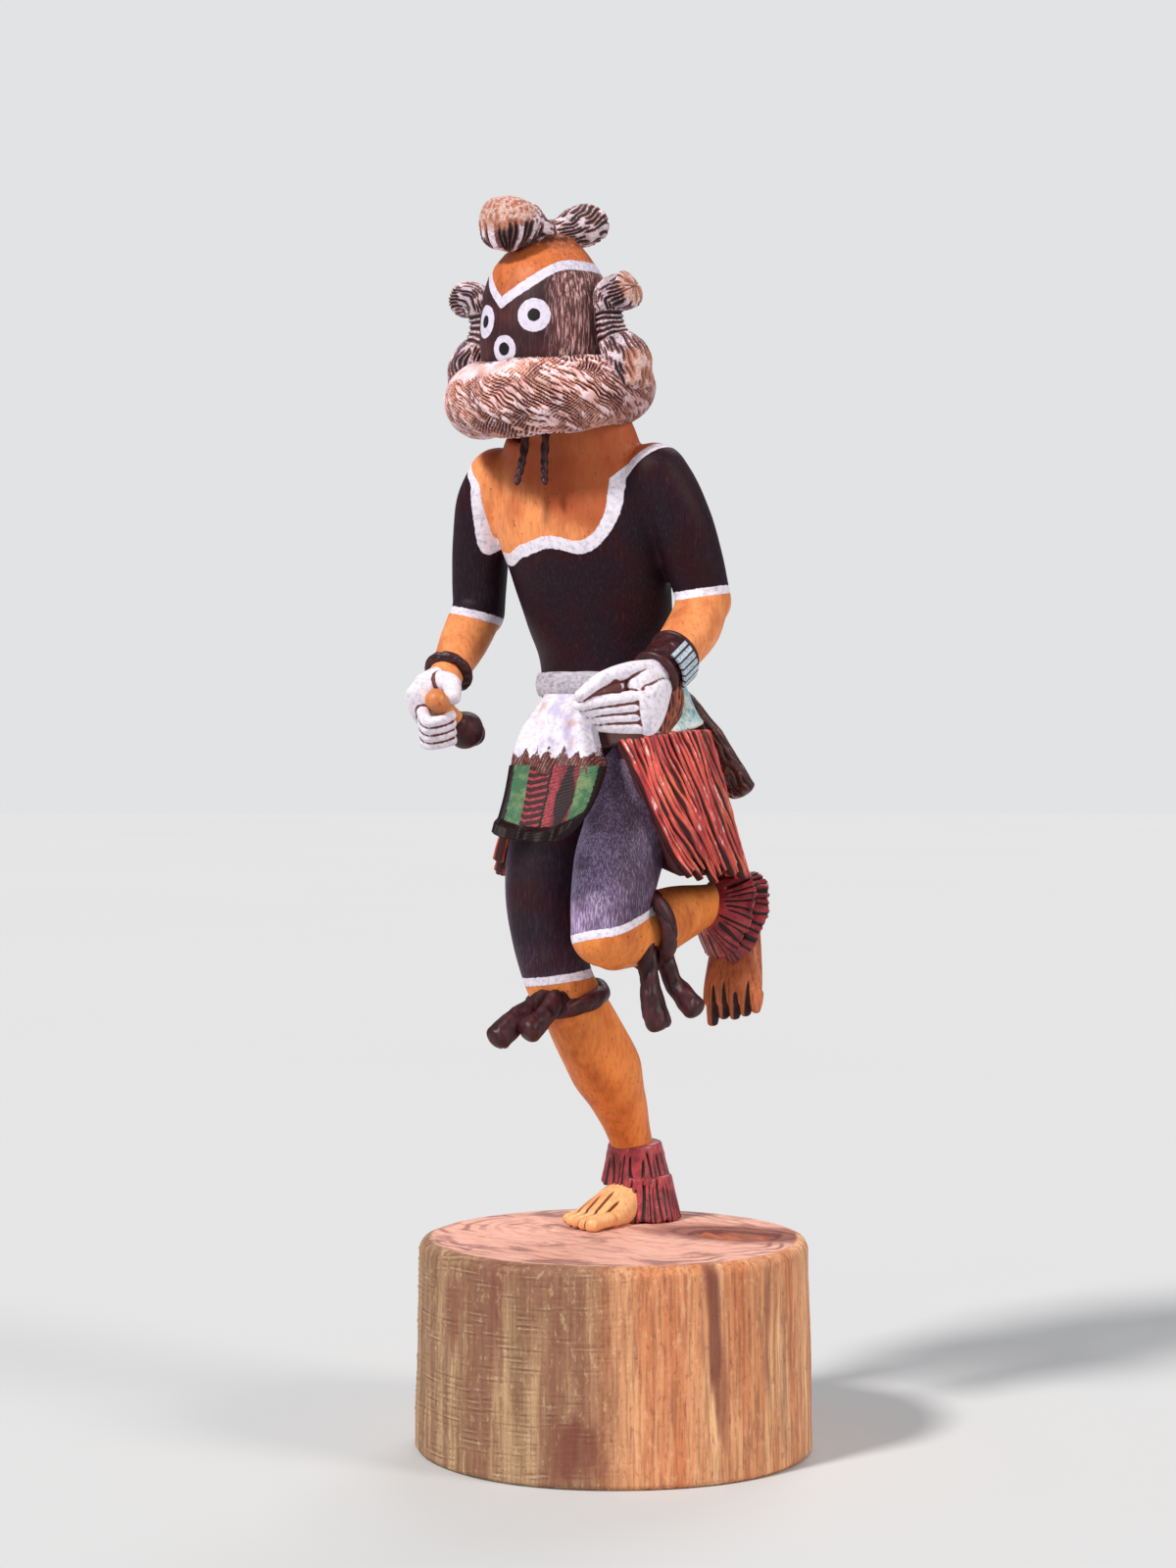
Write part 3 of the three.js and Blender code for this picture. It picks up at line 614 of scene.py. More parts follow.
bm = bmesh.new()
limb(bm, [(-13.6, 7.1, 92, 1.02 * THIGH), (-16.4, 2.9, 81, THIGH), (-17.4, -0.4, 71, 0.96 * THIGH),
          (-16.6, -1, 60.6, 0.9 * THIGH), (-14.8, -0.3, 51, 0.82 * THIGH), (-13.4, 2.6, 43.5, 0.79 * THIGH)])
limb(bm, [(-13.6, 1.9, 46, 0.92 * CALF), (-12.6, 6.9, 38, CALF), (-12, 11.2, 31.4, 1.02 * CALF),
          (-11.5, 14.6, 25, 0.82 * CALF), (-11.4, 18.2, 17.4, 1.12 * ANKLE), (-11.3, 20.6, 10.6, ANKLE),
          (-11.2, 21.6, 4.4, 1.1 * ANKLE)])
standing_leg = joined("standing_leg", bm, 0.52, 4)
carved(standing_leg, 0.10, 7)
at = spots(standing_leg.data)
note(standing_leg, "hem", (at[:, 2] - STANDING_HEM) - 0.1 * (at[:, 0] + 13) - 0.10 * (at[:, 1] + 2))
# Painted sheen and wear on this thigh: more on its outer side and towards the knee.
note(standing_leg, "sheen_and_wear", 0.05 + 0.30 * slope(-at[:, 0], 19, 24) + 0.16 * slope(58 - at[:, 2], 0, 9))
set_on_log(standing_leg, leg_paint)

FOOT_AHEAD = np.array([0, -1, 0])
FOOT_INNER = np.array([1, 0, 0])
TOE_ROOT = (-11.4, 6.6, 0)
TOE_GAP = 2.35


def skin_only(shade):
    colour, rough, height = skin_paint(shade, shade.place(), tint(246, 186, 128), tint(206, 120, 66))
    # Painted shade: darker brown in the cuts between the toes.
    return shade.mix(shade.attribute("cut").rise(0.12, 0.6), colour, tint(104, 46, 26)), rough, height


bm = bmesh.new()
limb(bm, [(-10.8, 24.4, 2.6, 3.8, 3.6), (-11.1, 20.4, 4.4, 4.3, 5.2), (-11.3, 14.4, 3, 5, 4.4),
          (-11.4, 7.6, 1.2, 5.9, 2.3)], 60, 60, across=FOOT_INNER, dome=0.6)
for toe in range(5):
    root = np.array(TOE_ROOT) + FOOT_INNER * TOE_GAP * (2 - toe)
    tip = root + FOOT_AHEAD * (5.6 - 0.22 * toe * toe)
    thick = 1.55 if toe == 0 else 1.22 - 0.04 * toe
    knuckle = (root + tip) / 2
    limb(bm, [(*root[:2], 1.7, thick), (*knuckle[:2], 1.4, thick * 0.9), (*tip[:2], 1.1, thick)], 24, 24)
forms = bm.verts[:] + bm.edges[:] + bm.faces[:]
bmesh.ops.bisect_plane(bm, geom=forms, plane_co=(0, 0, 0), plane_no=(0, 0, -1), clear_outer=True)
bmesh.ops.holes_fill(bm, edges=[e for e in bm.edges if e.is_boundary])
standing_foot = joined("standing_foot", bm, 0.28, 2)
at = spots(standing_foot.data)
aside = 1.5 - (at - TOE_ROOT) @ FOOT_INNER / TOE_GAP
forward = (at - TOE_ROOT) @ FOOT_AHEAD + 0.035 * ((at - TOE_ROOT) @ FOOT_INNER - 4) ** 2
near = (aside - np.round(aside)) / 0.13
reach = slope(forward + 1.2 * np.sin(2.3 * np.round(aside)), -5.5, -2.5) * slope(at[:, 2], 0.3, 1.2)
cut = np.exp(-near ** 2) * slope(aside, -0.5, -0.2) * slope(3.5 - aside, 0, 0.3) * reach
at[:, 2] = np.maximum(at[:, 2] - 0.45 * cut, 0)
shift(standing_foot.data, at)
note(standing_foot, "cut", cut)
set_on_log(standing_foot, surface("painted_foot", skin_only, Specular_IOR_Level=0.4))

# ------------------------------------------------------------------------------------------------------------
# The raised leg is the left one, bent at the knee with the shin level behind and the foot hanging toes down.
# It is painted as the standing leg is, and the foot is a browner orange, with painted shade darkening the
# notches between its toes.
RAISED_HEM = 59.3
RAISED_TOE_ROOT = (6.9, 22.2, 46.5)
RAISED_TOE_GAP = 2.4

bm = bmesh.new()
limb(bm, [(0.8, 5.4, 91, 1.1 * THIGH), (3.6, 0.7, 81.5, 1.05 * THIGH), (4.5, -4.2, 73, 1.02 * THIGH),
          (5.5, -8, 64, 0.92 * THIGH), (5.6, -9.4, 59, 0.8 * THIGH)], dome=0.9)
limb(bm, [(5.8, -8, 58.4, 0.88 * CALF), (6, 1.1, 59.8, 0.94 * CALF), (6.6, 10.8, 62.2, 0.82 * CALF),
          (7.4, 18.6, 63.6, 0.6 * CALF), (8.1, 25, 64.2, 0.52 * CALF)])
raised_leg = joined("raised_leg", bm, 0.52, 4)
carved(raised_leg, 0.10, 7, 3)
at = spots(raised_leg.data)
hem = (at[:, 2] - RAISED_HEM) - 0.20 * (at[:, 0] - 8) - 0.30 * (at[:, 1] + 13) * slope(at[:, 1], -16, -8)
note(raised_leg, "hem", np.minimum(hem, -0.9 * (at[:, 1] - 0.3) + 0.25 * (at[:, 2] - 62)))
# Painted sheen and wear on this thigh: most on its front and inner side.
note(raised_leg, "sheen_and_wear", 0.42 + 1.1 * slope(-0.9 * (at[:, 0] - 3) - 0.5 * (at[:, 1] + 6), -7, 6))
set_on_log(raised_leg, leg_paint)


def brown_skin(shade):
    where = shade.place()
    colour, rough, height = skin_paint(shade, where, tint(206, 116, 70), tint(130, 58, 36))
    grain = where.scaled(1, 1, 0.10).blotches(0.7, 3, 0.6)
    colour = shade.mix(grain.rise(0.54, 0.70) * 0.6, colour, tint(92, 38, 26))
    colour = shade.mix(grain.rise(0.42, 0.30) * 0.4, colour, tint(226, 160, 128))
    # Painted shade: nearly black in the notches between the toes.
    notch = shade.attribute("cut").rise(0.05, 0.4)
    return shade.mix(notch, colour, tint(46, 14, 12)), rough, height + 0.1 * grain


bm = bmesh.new()
limb(bm, [(8.1, 28.6, 66, 3.9, 3.6), (8.8, 27.6, 60.5, 4.4, 4), (9.9, 25.4, 54, 5.5, 3.3),
          (11, 23.2, 47.6, 6.3, 2.2), (11.3, 22.4, 44.4, 6.3, 1.5)], 60, 60, across=turned(12), dome=0.5)
for toe in range(5):
    root = np.array(RAISED_TOE_ROOT) + (RAISED_TOE_GAP * toe, 0.4 * toe, 0)
    tip = root + (0.4, -0.9, -6.3 + 0.75 * toe + (0.7 if toe == 1 else 0))
    limb(bm, [(*root, 1.4), (*(root + tip) / 2, 1.3), (*tip, 1.0, 0.8)], 24, 24, across=turned(12))
raised_foot = joined("raised_foot", bm, 0.28, 3)
at = spots(raised_foot.data)
drop = RAISED_TOE_ROOT[2] - at[:, 2]
aside = (at[:, 0] - RAISED_TOE_ROOT[0] - 0.065 * drop) / RAISED_TOE_GAP - 0.5
notch = np.abs(aside - np.round(aside)) / (0.05 + 0.035 * np.maximum(drop + 2, 0))
cut = np.exp(-notch ** 2) * slope(aside, -0.6, -0.2) * slope(3.7 - aside, 0, 0.3)
cut *= slope(drop + 1.9 + 1.2 * np.sin(2.4 * np.round(aside)), 0, 1.2)
at[:, 1] += 0.5 * cut
shift(raised_foot.data, at)
note(raised_foot, "cut", cut)
set_on_log(raised_foot, surface("browned_foot", brown_skin, Specular_IOR_Level=0.35))

# ------------------------------------------------------------------------------------------------------------
# The trunk and both arms, with a painted shirt: aubergine with a wide, low neckline and short sleeves, each
# edged in white. The chest and the forearms are bare ochre.
SHOULDER = 18.5
ARM = 6
CHEST_ACROSS = turned(10)
NECK_MIDDLE = -7.7
NECK_HALF = 17.4
NECK_LOW = 132.2

bm = bmesh.new()
limb(bm, [(-6.5, 6.3, 88, 15.5, 12), (-6.3, 5.6, 97.5, 14.5, 11), (-5.8, 4.5, 106, 13.2, 10.8),
          (-5, 3.2, 114, 14.2, 10.4), (-4.8, 0.7, 122, 0.84 * SHOULDER, 10.8),
          (-4.9, -1.8, 131, 0.92 * SHOULDER, 11.4), (-5, -3.8, 139, SHOULDER, 11.4),
          (-5.2, -5.2, 146, 0.93 * SHOULDER, 10),
          (-4.6, -6.4, 151.5, 0.84 * SHOULDER, 8.6), (-3.9, -7.6, 155.6, 0.66 * SHOULDER, 7.8),
          (-5.4, -9.6, 161, 0.46 * SHOULDER, 7.2)], 72, 72, CHEST_ACROSS, 0.5)
for stations in (
    [(11.4, -1.8, 146.6, 1.1 * ARM, 1.08 * ARM), (14.2, 0, 141.6, 1.04 * ARM, 1.06 * ARM),
     (16.4, 2, 134.6, 0.97 * ARM, 0.96 * ARM), (17.6, 5.6, 123, 0.88 * ARM)],
    [(17.6, 5.2, 123, 0.84 * ARM), (19.2, 0.6, 117.8, 0.86 * ARM), (19.8, -5.8, 112.8, 0.76 * ARM),
     (20, -10.6, 109.8, 0.6 * ARM)],
    [(-22.6, -7.6, 147.2, 1.1 * ARM, 1.05 * ARM), (-26.2, -7.5, 142.5, 1.04 * ARM, 1.02 * ARM),
     (-28.4, -7.1, 134.5, 0.96 * ARM, 0.94 * ARM), (-29.4, -6.6, 121.4, 0.86 * ARM)],
    [(-29.4, -7, 121.6, 0.84 * ARM), (-27.9, -12.8, 115.4, 0.8 * ARM), (-25.5, -18.7, 110.6, 0.64 * ARM),
     (-24.4, -22.2, 108, 0.55 * ARM)],
):
    limb(bm, stations, across=CHEST_ACROSS, dome=1)
trunk = joined("trunk_and_arms", bm, 0.6, 5)
carved(trunk, 0.14, 8, 5)
at = spots(trunk.data)
behind = (at - (-5, -3.8, 139)) @ turned(100)
on_right = slope(NECK_MIDDLE - at[:, 0], 2, 6)
half = NECK_HALF + 0.9 * np.maximum(at[:, 2] - 146, 0) - 4.5 * on_right * slope(behind, -1, 4)
corner = np.where(at[:, 0] > NECK_MIDDLE, 9.5, 6.5)
low = NECK_LOW - 2.6 * slope(-at[:, 0], 11, 17) * slope(-behind, 0, 4)
low += 9.0 * slope(behind + 1.5 * on_right, 0, 5)
low += 0.7 * np.sin(0.42 * (at[:, 0] + 8)) * slope(-at[:, 1], 2, 6)
beside = np.abs(at[:, 0] - NECK_MIDDLE) - half + corner
under = low + corner - at[:, 2]
outside = np.hypot(np.maximum(beside, 0), np.maximum(under, 0))
note(trunk, "neckline", outside + np.minimum(np.maximum(beside, under), 0) - corner)
# A painted shadow of the ruff over the upper chest, reaching lower on the dancer's left.
note(trunk, "ruff_shadow", slope(at[:, 2] + 0.55 * (at[:, 0] + 8), 136, 150) * slope(at[:, 2], 128, 134))
left_sleeve = at[:, 2] - 124.6 - 0.10 * (at[:, 0] - 18) - 0.1 * at[:, 1]
right_sleeve = at[:, 2] - 121.6 + 0.16 * (at[:, 0] + 28) + 0.18 * (at[:, 1] + 11)
note(trunk, "sleeve", np.where(at[:, 0] > 11.5, left_sleeve, np.where(at[:, 0] < -21, right_sleeve, 9)))


def painted_body(shade):
    where = shade.place()
    rag = (where.blotches(0.8, 3) - 0.5) * 0.45
    neckline = shade.attribute("neckline") + rag
    sleeve = shade.attribute("sleeve") + rag
    shirt = neckline.rise(-0.1, 0.1) * sleeve.rise(0.1, 0.3)
    skin = neckline.rise(-2.3, -2.5).most(sleeve.rise(-1.3, -1.5))
    dark, dark_rough, dark_height = dark_paint(shade, where, 0.035)
    ochre, ochre_rough, ochre_height = skin_paint(shade, where, tint(244, 156, 98), tint(182, 88, 52))
    # The painted shadow of the ruff: a darker reddish brown over the ochre.
    ruff_shadow = shade.attribute("ruff_shadow") + (where.blotches(5, 3) - 0.5) * 0.5
    ochre = shade.mix(ruff_shadow.rise(0.2, 0.8) * 0.75, ochre, tint(158, 66, 36))
    white, _ = white_paint(shade, where)
    colour = shade.mix(skin, shade.mix(shirt, white, dark), ochre)
    rough = ochre_rough + shirt * (dark_rough - ochre_rough)
    on_white = (1 - skin) * (1 - shirt)
    return colour, rough, ochre_height + shirt * (dark_height - ochre_height) + on_white * 0.07


set_on_log(trunk, surface("painted_body", painted_body, Specular_IOR_Level=0.16))

# ------------------------------------------------------------------------------------------------------------
# The hands are whitened. The left makes a loop of thumb and first finger over three curled ones, and the
# right closes round the rattle. The fingers are parted by knife cuts, and painted shade darkens the cuts and
# the inside of the loop to a reddish brown.
FINGER = 1.3
GROOVE = 0.055


def finger_forms(bm, knuckle, drop, heading, inward, reach, gather=0.0):
    """Four curled fingers, each lower and shorter than the last. gather lifts the tips of the lower ones."""
    aside = unit(inward)
    for finger in range(4):
        ahead = unit(np.array(heading) + (0, 0, gather * finger))
        long = reach * (1 - 0.10 * finger)
        start = np.array(knuckle) + np.array(drop) * finger
        bend = start + ahead * long + aside * 0.5
        turn = bend - ahead * 0.12 * long + aside * 2.6
        tip = turn - ahead * 0.42 * long + aside * 2.2
        sizes = np.array([0.9, 1.0, 0.84, 0.72, 0.8]) * FINGER
        points = [start, start + ahead * 0.6 * long, bend, turn, tip]
        limb(bm, [(*p, size) for p, size in zip(points, sizes)], 20, 40, across=(0, 0, 1))


def whitened(shade):
    where = shade.place()
    white, marks = white_paint(shade, where)
    deep = shade.attribute("deep")
    thin = where.blotches(1.3, 4, 0.65)
    colour = shade.mix(thin.rise(0.56, 0.74) * 0.5, white, tint(214, 168, 160))
    # Painted shade: reddish brown in the cuts between the fingers and inside the loop.
    colour = shade.mix((deep + (thin - 0.5) * 0.5).rise(0.14, 0.6), colour, tint(104, 44, 38))
    return colour, 0.5 + 0.2 * marks, 0.06 * marks


def hollows(piece):
    """How deep each vertex lies below its neighbours, from about 0 on open faces to 1 in a groove."""
    graph = bmesh.new()
    graph.from_mesh(piece.data)
    graph.normal_update()
    before = np.array([v.co for v in graph.verts])
    normals = np.array([v.normal for v in graph.verts])
    for _ in range(6):
        bmesh.ops.smooth_vert(graph, verts=graph.verts, factor=0.7, use_axis_x=True, use_axis_y=True,
                              use_axis_z=True)
    after = np.array([v.co for v in graph.verts])
    graph.free()
    return np.einsum("ij,ij->i", after - before, normals) / GROOVE


hand_paint = surface("whitened_hand", whitened, Coat_Weight=0.08, Coat_Roughness=0.4)

bm = bmesh.new()
limb(bm, [(20.2, -9.6, 109.4, 3.3, 3), (20.6, -13.6, 107.4, 3.9, 2.6), (21.2, -16.6, 105.6, 4.3, 2.2),
          (21.4, -19.2, 104.2, 3.8, 1.8)], across=(0, 0, 1), dome=0.6)
limb(bm, [(20.6, -11.6, 106.8, 3, 2.6), (22, -14.6, 103.8, 4.2, 2.3), (22.7, -17.2, 102, 4.7, 1.9),
          (22.9, -19.4, 101.4, 4.2, 1.3)], across=(0, 0, 1), dome=0.6)
limb(bm, [(20.8, -13.4, 109.6, 2), (20.2, -20, 109.4, 1.6), (18.8, -26.4, 107.6, 1.4),
          (17.6, -31, 104.6, 1.1)], 28, 40)
limb(bm, [(19.4, -19, 106, 1.9, 1.4), (18.6, -24, 105.6, 1.8, 1.2), (17.6, -27.6, 104.6, 1.2, 1)], 28, 40,
     across=(0, 0, 1))
finger_forms(bm, (23.4, -17.6, 105), (-0.15, 0.4, -2.05), (-0.42, -0.89, -0.14), (-1, 0.35, 0.1), 14.4, 0.055)
left_hand = joined("left_hand", bm, 0.25, 2)

bm = bmesh.new()
limb(bm, [(-24.3, -21.6, 108.2, 3.4, 3.2), (-24.9, -24.8, 104.8, 5.4, 3.1), (-24.5, -28.2, 102, 5.8, 2.8)],
     across=(0, 0, 1), dome=0.6)
limb(bm, [(-24, -24, 107.6, 2.3), (-18.8, -26.2, 107, 1.9), (-16, -28.6, 104.4, 1.5)], 28, 40)
finger_forms(bm, (-23.9, -28.8, 102.2), (-0.3, 0.5, -1.7), (0.72, -0.62, -0.3), (0.95, 0.6, 0), 7.6)
right_hand = joined("right_hand", bm, 0.25, 2)

LOOP = (18.9, -24.6, 106.2)
for hand in (left_hand, right_hand):
    off = spots(hand.data) - LOOP
    within = slope(3.4 - np.linalg.norm(off * (1, 1, 1.5), axis=1), 0, 1)
    palm = slope(-off @ turned(-50), -1.6, -0.6) * within
    note(hand, "deep", np.maximum(hollows(hand), palm))
    set_on_log(hand, hand_paint)

# ------------------------------------------------------------------------------------------------------------
# The case mask: a dark brown drum with a domed ochre crown. A white brow line dips to a point between the
# eyes, and the eyes and mouth are white rings painted round black spots. The sides keep upright knife
# scratches.
MASK = 12.4
HEAD_ACROSS = turned(5)
BROW_TIP = 178.8
FACE_RINGS = (
    # left, back and up of the middle, and radius: both eyes, and the mouth
    (0.0, -23.5, 176.2, 3.15),
    (-11.3, -24.2, 175.7, 3.15),
    (-5.9, -25.3, 170.1, 2.6),
)
FACE_SPOT = 1.25

bm = bmesh.new()
limb(bm, [(-7, -12.6, 160, 0.85 * MASK), (-6.6, -13, 167, 0.97 * MASK), (-6.4, -13.2, 173.5, MASK),
          (-6.3, -13.2, 179.5, 0.97 * MASK), (-6.1, -12.9, 184.8, 0.88 * MASK),
          (-6, -12.8, 188.8, 0.66 * MASK), (-5.9, -12.9, 191.6, 0.44 * MASK)], 160, 140, HEAD_ACROSS, 0.25)
mask = named("mask", bm)
carved(mask, 0.10, 6, 2)
at = spots(mask.data)
round_mask = np.arctan2(at[:, 0] + 7.1, -(at[:, 1] + 13.0)) * MASK - 0.5
from_tip = np.where(round_mask < 0, -1.55 * round_mask, round_mask)
over = np.clip(from_tip - 9, 0, 6)
brow = BROW_TIP + 0.6 * (np.minimum(from_tip, 9) + over) - 0.05 * over ** 2
note(mask, "brow", (at[:, 2] - brow) * (0.84 + 0.16 * slope(from_tip, 6, 12)))
note(mask, "scratch", slope(np.abs(round_mask), 8, 13))


def painted_mask(shade):
    where = shade.place()
    rag = where.blotches(0.9, 3)
    brow = shade.attribute("brow") + (rag - 0.5) * 0.45
    scratch = shade.attribute("scratch")
    lines = where.scaled(1, 1, 0.09).blotches(0.36, 4, 0.7)
    dark = shade.mix(where.blotches(5).rise(0.4, 0.7), tint(48, 16, 24), tint(74, 28, 30))
    dark = shade.mix(scratch * where.blotches(3).rise(0.3, 0.7) * 0.6, dark, tint(122, 66, 60))
    dark = shade.mix(scratch * 0.35, dark, tint(130, 82, 84))
    dark = shade.mix(lines.rise(0.49, 0.62) * (0.04 + 0.96 * scratch) * 0.85, dark, tint(238, 188, 184))
    ochre, _, height = skin_paint(shade, where, tint(214, 116, 60), tint(142, 58, 28))
    up = where.parts()[2] - LOG_TOP
    ochre = shade.mix(up.rise(188.6, 191.5) * where.blotches(1.5).rise(0.3, 0.6), ochre, tint(84, 38, 22))
    white, marks = white_paint(shade, where)
    lilac = shade.mix(0.45, white, tint(208, 200, 228))
    colour = shade.mix(brow.rise(-1.05, -0.9), dark, lilac)
    colour = shade.mix(brow.rise(0.9, 1.05), colour, ochre)
    for left, back, above, size in FACE_RINGS:
        gap = where.apart(left, back, LOG_TOP + above) + (rag - 0.5) * 0.35
        colour = shade.mix(gap.rise(size + 0.08, size - 0.08), colour, lilac)
        colour = shade.mix(gap.rise(FACE_SPOT + 0.07, FACE_SPOT - 0.07), colour, tint(20, 8, 14))
    scored = height * brow.rise(0.9, 1.0) - lines.rise(0.5, 0.3) * scratch * 0.16
    return colour, 0.42 + 0.2 * marks, scored + 0.05 * brow.rise(-1.05, -0.9)


set_on_log(mask, surface("painted_mask", painted_mask, Specular_IOR_Level=0.35))

# ------------------------------------------------------------------------------------------------------------
# The fox fur ruff, carved as a thick roll round the neck. Hundreds of short knife strokes comb it round and
# downwards, and dry white paint is dragged over their ridges. Its two tie strings hang on the chest.
RUFF = 13.4
RUFF_REACH = 6.8
RUFF_HALF = 6.6
RUFF_CUTS = 118
RUFF_AXIS = (0, -0.13, 1)


def axes(axis, across):
    """Three directions at right angles: up the axis, across it and away from both."""
    up = unit(axis)
    across = np.asarray(across, float)
    right = unit(across - up * (up @ across))
    return up, right, np.cross(up, right)


def band(bm, at, wide, deep, reach, half, axis=(0, 0, 1), across=(1, 0, 0), sides=40, steps=96, relief=None,
         crowd=0.0):
    """Adds a ring of half axes wide and deep, whose section stands out by reach and is half high each way.

    crowd draws the section's points towards its outer side, and relief is as in limb.
    """
    own = bmesh.new()
    section = bmesh.ops.create_circle(own, segments=sides, radius=1)["verts"]
    for vertex in section:
        turn = math.atan2(vertex.co.y, vertex.co.x)
        turn -= crowd * math.sin(turn)
        vertex.co = (2 + math.cos(turn), 0, math.sin(turn))
    bmesh.ops.spin(own, geom=section + own.edges[:], cent=(0, 0, 0), axis=(0, 0, 1), angle=2 * math.pi,
                   steps=steps, use_merge=True)
    bmesh.ops.recalc_face_normals(own, faces=own.faces)
    mesh = meshed("band", own)
    x, y, z = spots(mesh).T
    turn = np.arctan2(y, x)
    out = np.hypot(x, y) - 2
    up, right, away = axes(axis, across)
    place = np.array(at, float) + np.outer(np.cos(turn) * (wide + out * reach), right)
    place += np.outer(np.sin(turn) * (deep + out * reach), away) + np.outer(z * half, up)
    level = np.outer(np.cos(turn) * out, right) + np.outer(np.sin(turn) * out, away) + np.outer(z, up)
    stand, shown = both(relief(turn, np.arctan2(z, out), place) if relief else np.zeros(len(place)))
    add_form(bm, mesh, place + unit(level) * stand[:, None], shown)


def strokes(phase, place, length, width=0.26, count=None, seed=0.0, rest=0.12):
    """Knife cuts at the whole numbers of phase, each running on and off along its length: 0 open to 1 deep.

    rest is how much of the length is left uncut, from about -1 to 1.
    """
    cut = np.round(phase)
    near = np.abs(phase - cut)
    marks = (cut % count if count else cut)[:, None] * (3.7, 5.3, 7.9)
    runs = wave(place / length + marks, 1, seed)
    return slope(runs, rest - 0.4, rest) * np.exp(-(near / width) ** 2)


def fur_cuts(turn, section, place):
    """The ruff's form and its combed strokes."""
    lump = 0.9 * wave(place, 9, 3) + 0.5 * np.cos(7 * turn + 1.6 * section)
    sway = 2.4 * wave(place, 8, 1) + 0.7 * wave(place, 2.5, 2)
    phase = RUFF_CUTS * turn / (2 * math.pi) + 9 * section + sway
    second = 1.31 * RUFF_CUTS * turn / (2 * math.pi) + 6 * section + 1.2 * sway
    cut = strokes(phase, place, 3.2, 0.26, RUFF_CUTS, 0, 0)
    cut += 0.35 * strokes(second, place, 1.8, 0.25, None, 4)
    ledge = slope(np.sin(section), 0.45, 0.9) * slope(np.cos(turn - math.radians(-125)), 0.3, 0.9)
    cut = np.minimum(cut, 1.2) * (1 - 0.8 * ledge)
    return 0.35 * lump - 0.5 * np.sin(turn) - 0.6 * cut + 0.25, 0.3 - 0.7 * cut + 0.25 * ledge


bm = bmesh.new()
band(bm, (-6.7, -10.8, 162.6), RUFF, RUFF, RUFF_REACH, RUFF_HALF, RUFF_AXIS, sides=88, steps=620,
     relief=fur_cuts, crowd=0.5)
ruff = named("fur_ruff", bm)


def furred(shade):
    where = shade.place()
    relief = shade.attribute("relief")
    fine = where.scaled(1, 1, 0.6).blotches(0.4, 4, 0.65)
    patch = where.blotches(5, 3, 0.55)
    x, y, z = where.parts()
    shadow = (x * 0.7 + y * 0.9 - z * 0.25).rise(-63, -48)
    under = shade.mix(patch.rise(0.36, 0.66), tint(206, 128, 104), tint(140, 76, 66))
    under = shade.mix(where.blotches(12, 2).rise(0.48, 0.62) * 0.6, under, tint(224, 150, 112))
    under = shade.mix(shadow * 0.6, under, tint(96, 46, 54))
    # Painted shade: darker in the knife cuts.
    colour = shade.mix(relief.rise(0.02, -0.26), under, tint(62, 20, 24))
    dry_brush_and_glints = (relief + (fine - 0.5) * 0.5).rise(0.02, 0.20)
    dusted = shade.mix(where.blotches(3.5, 3).rise(0.4, 0.65), tint(252, 232, 240), tint(236, 190, 186))
    colour = shade.mix(dry_brush_and_glints * patch.rise(1.0, 0.38) * (1 - 0.6 * shadow), colour, dusted)
    near = where.scaled(1, 1, 0).apart(-6.4, -13.1, 0)
    hairs = (where.scaled(1, 1, 0.35).blotches(0.8, 3, 0.7) - near * 0.10).rise(-0.88, -0.80)
    colour = shade.mix(hairs * (z - LOG_TOP).rise(165, 166.5) * 0.9, colour, tint(58, 20, 26))
    return colour, 0.55 + 0.2 * fine, 0.12 * fine


set_on_log(ruff, surface("dry_brushed_fur", furred))


def tie_look(shade):
    where = shade.place()
    relief = shade.attribute("relief")
    patch = where.scaled(1, 1, 0.6).blotches(1.6, 4, 0.6)
    colour = shade.mix(patch.rise(0.36, 0.70), tint(46, 12, 18), tint(78, 28, 32))
    colour = shade.mix(patch.rise(0.66, 0.84) * 0.35, colour, tint(140, 92, 104))
    # Painted shade: nearly black in the twists, wrinkles and cuts.
    colour = shade.mix(relief.rise(-0.08, -0.45), colour, tint(20, 5, 8))
    return colour, 0.34 + 0.25 * patch, 0.10 * patch


tie_paint = surface("brown_leather_paint", tie_look, Specular_IOR_Level=0.4)


def cord_twist(turn, along, place):
    return -0.22 * (0.5 + 0.5 * np.sin(2 * turn + 34 * along)) - 0.08 + 0.10 * wave(place, 1.3)


bm = bmesh.new()
for stations in (
    [(-5, -19.6, 158, 1.1), (-4.8, -21.4, 149.5, 0.9), (-5.2, -22.6, 145, 0.8)],
    [(-1.6, -18, 158, 1.1), (-1.2, -19.2, 149.5, 0.9), (-1.1, -19.2, 145, 0.8)],
):
    limb(bm, stations, 20, 60, relief=cord_twist)
strings = named("ruff_strings", bm)
set_on_log(strings, tie_paint)

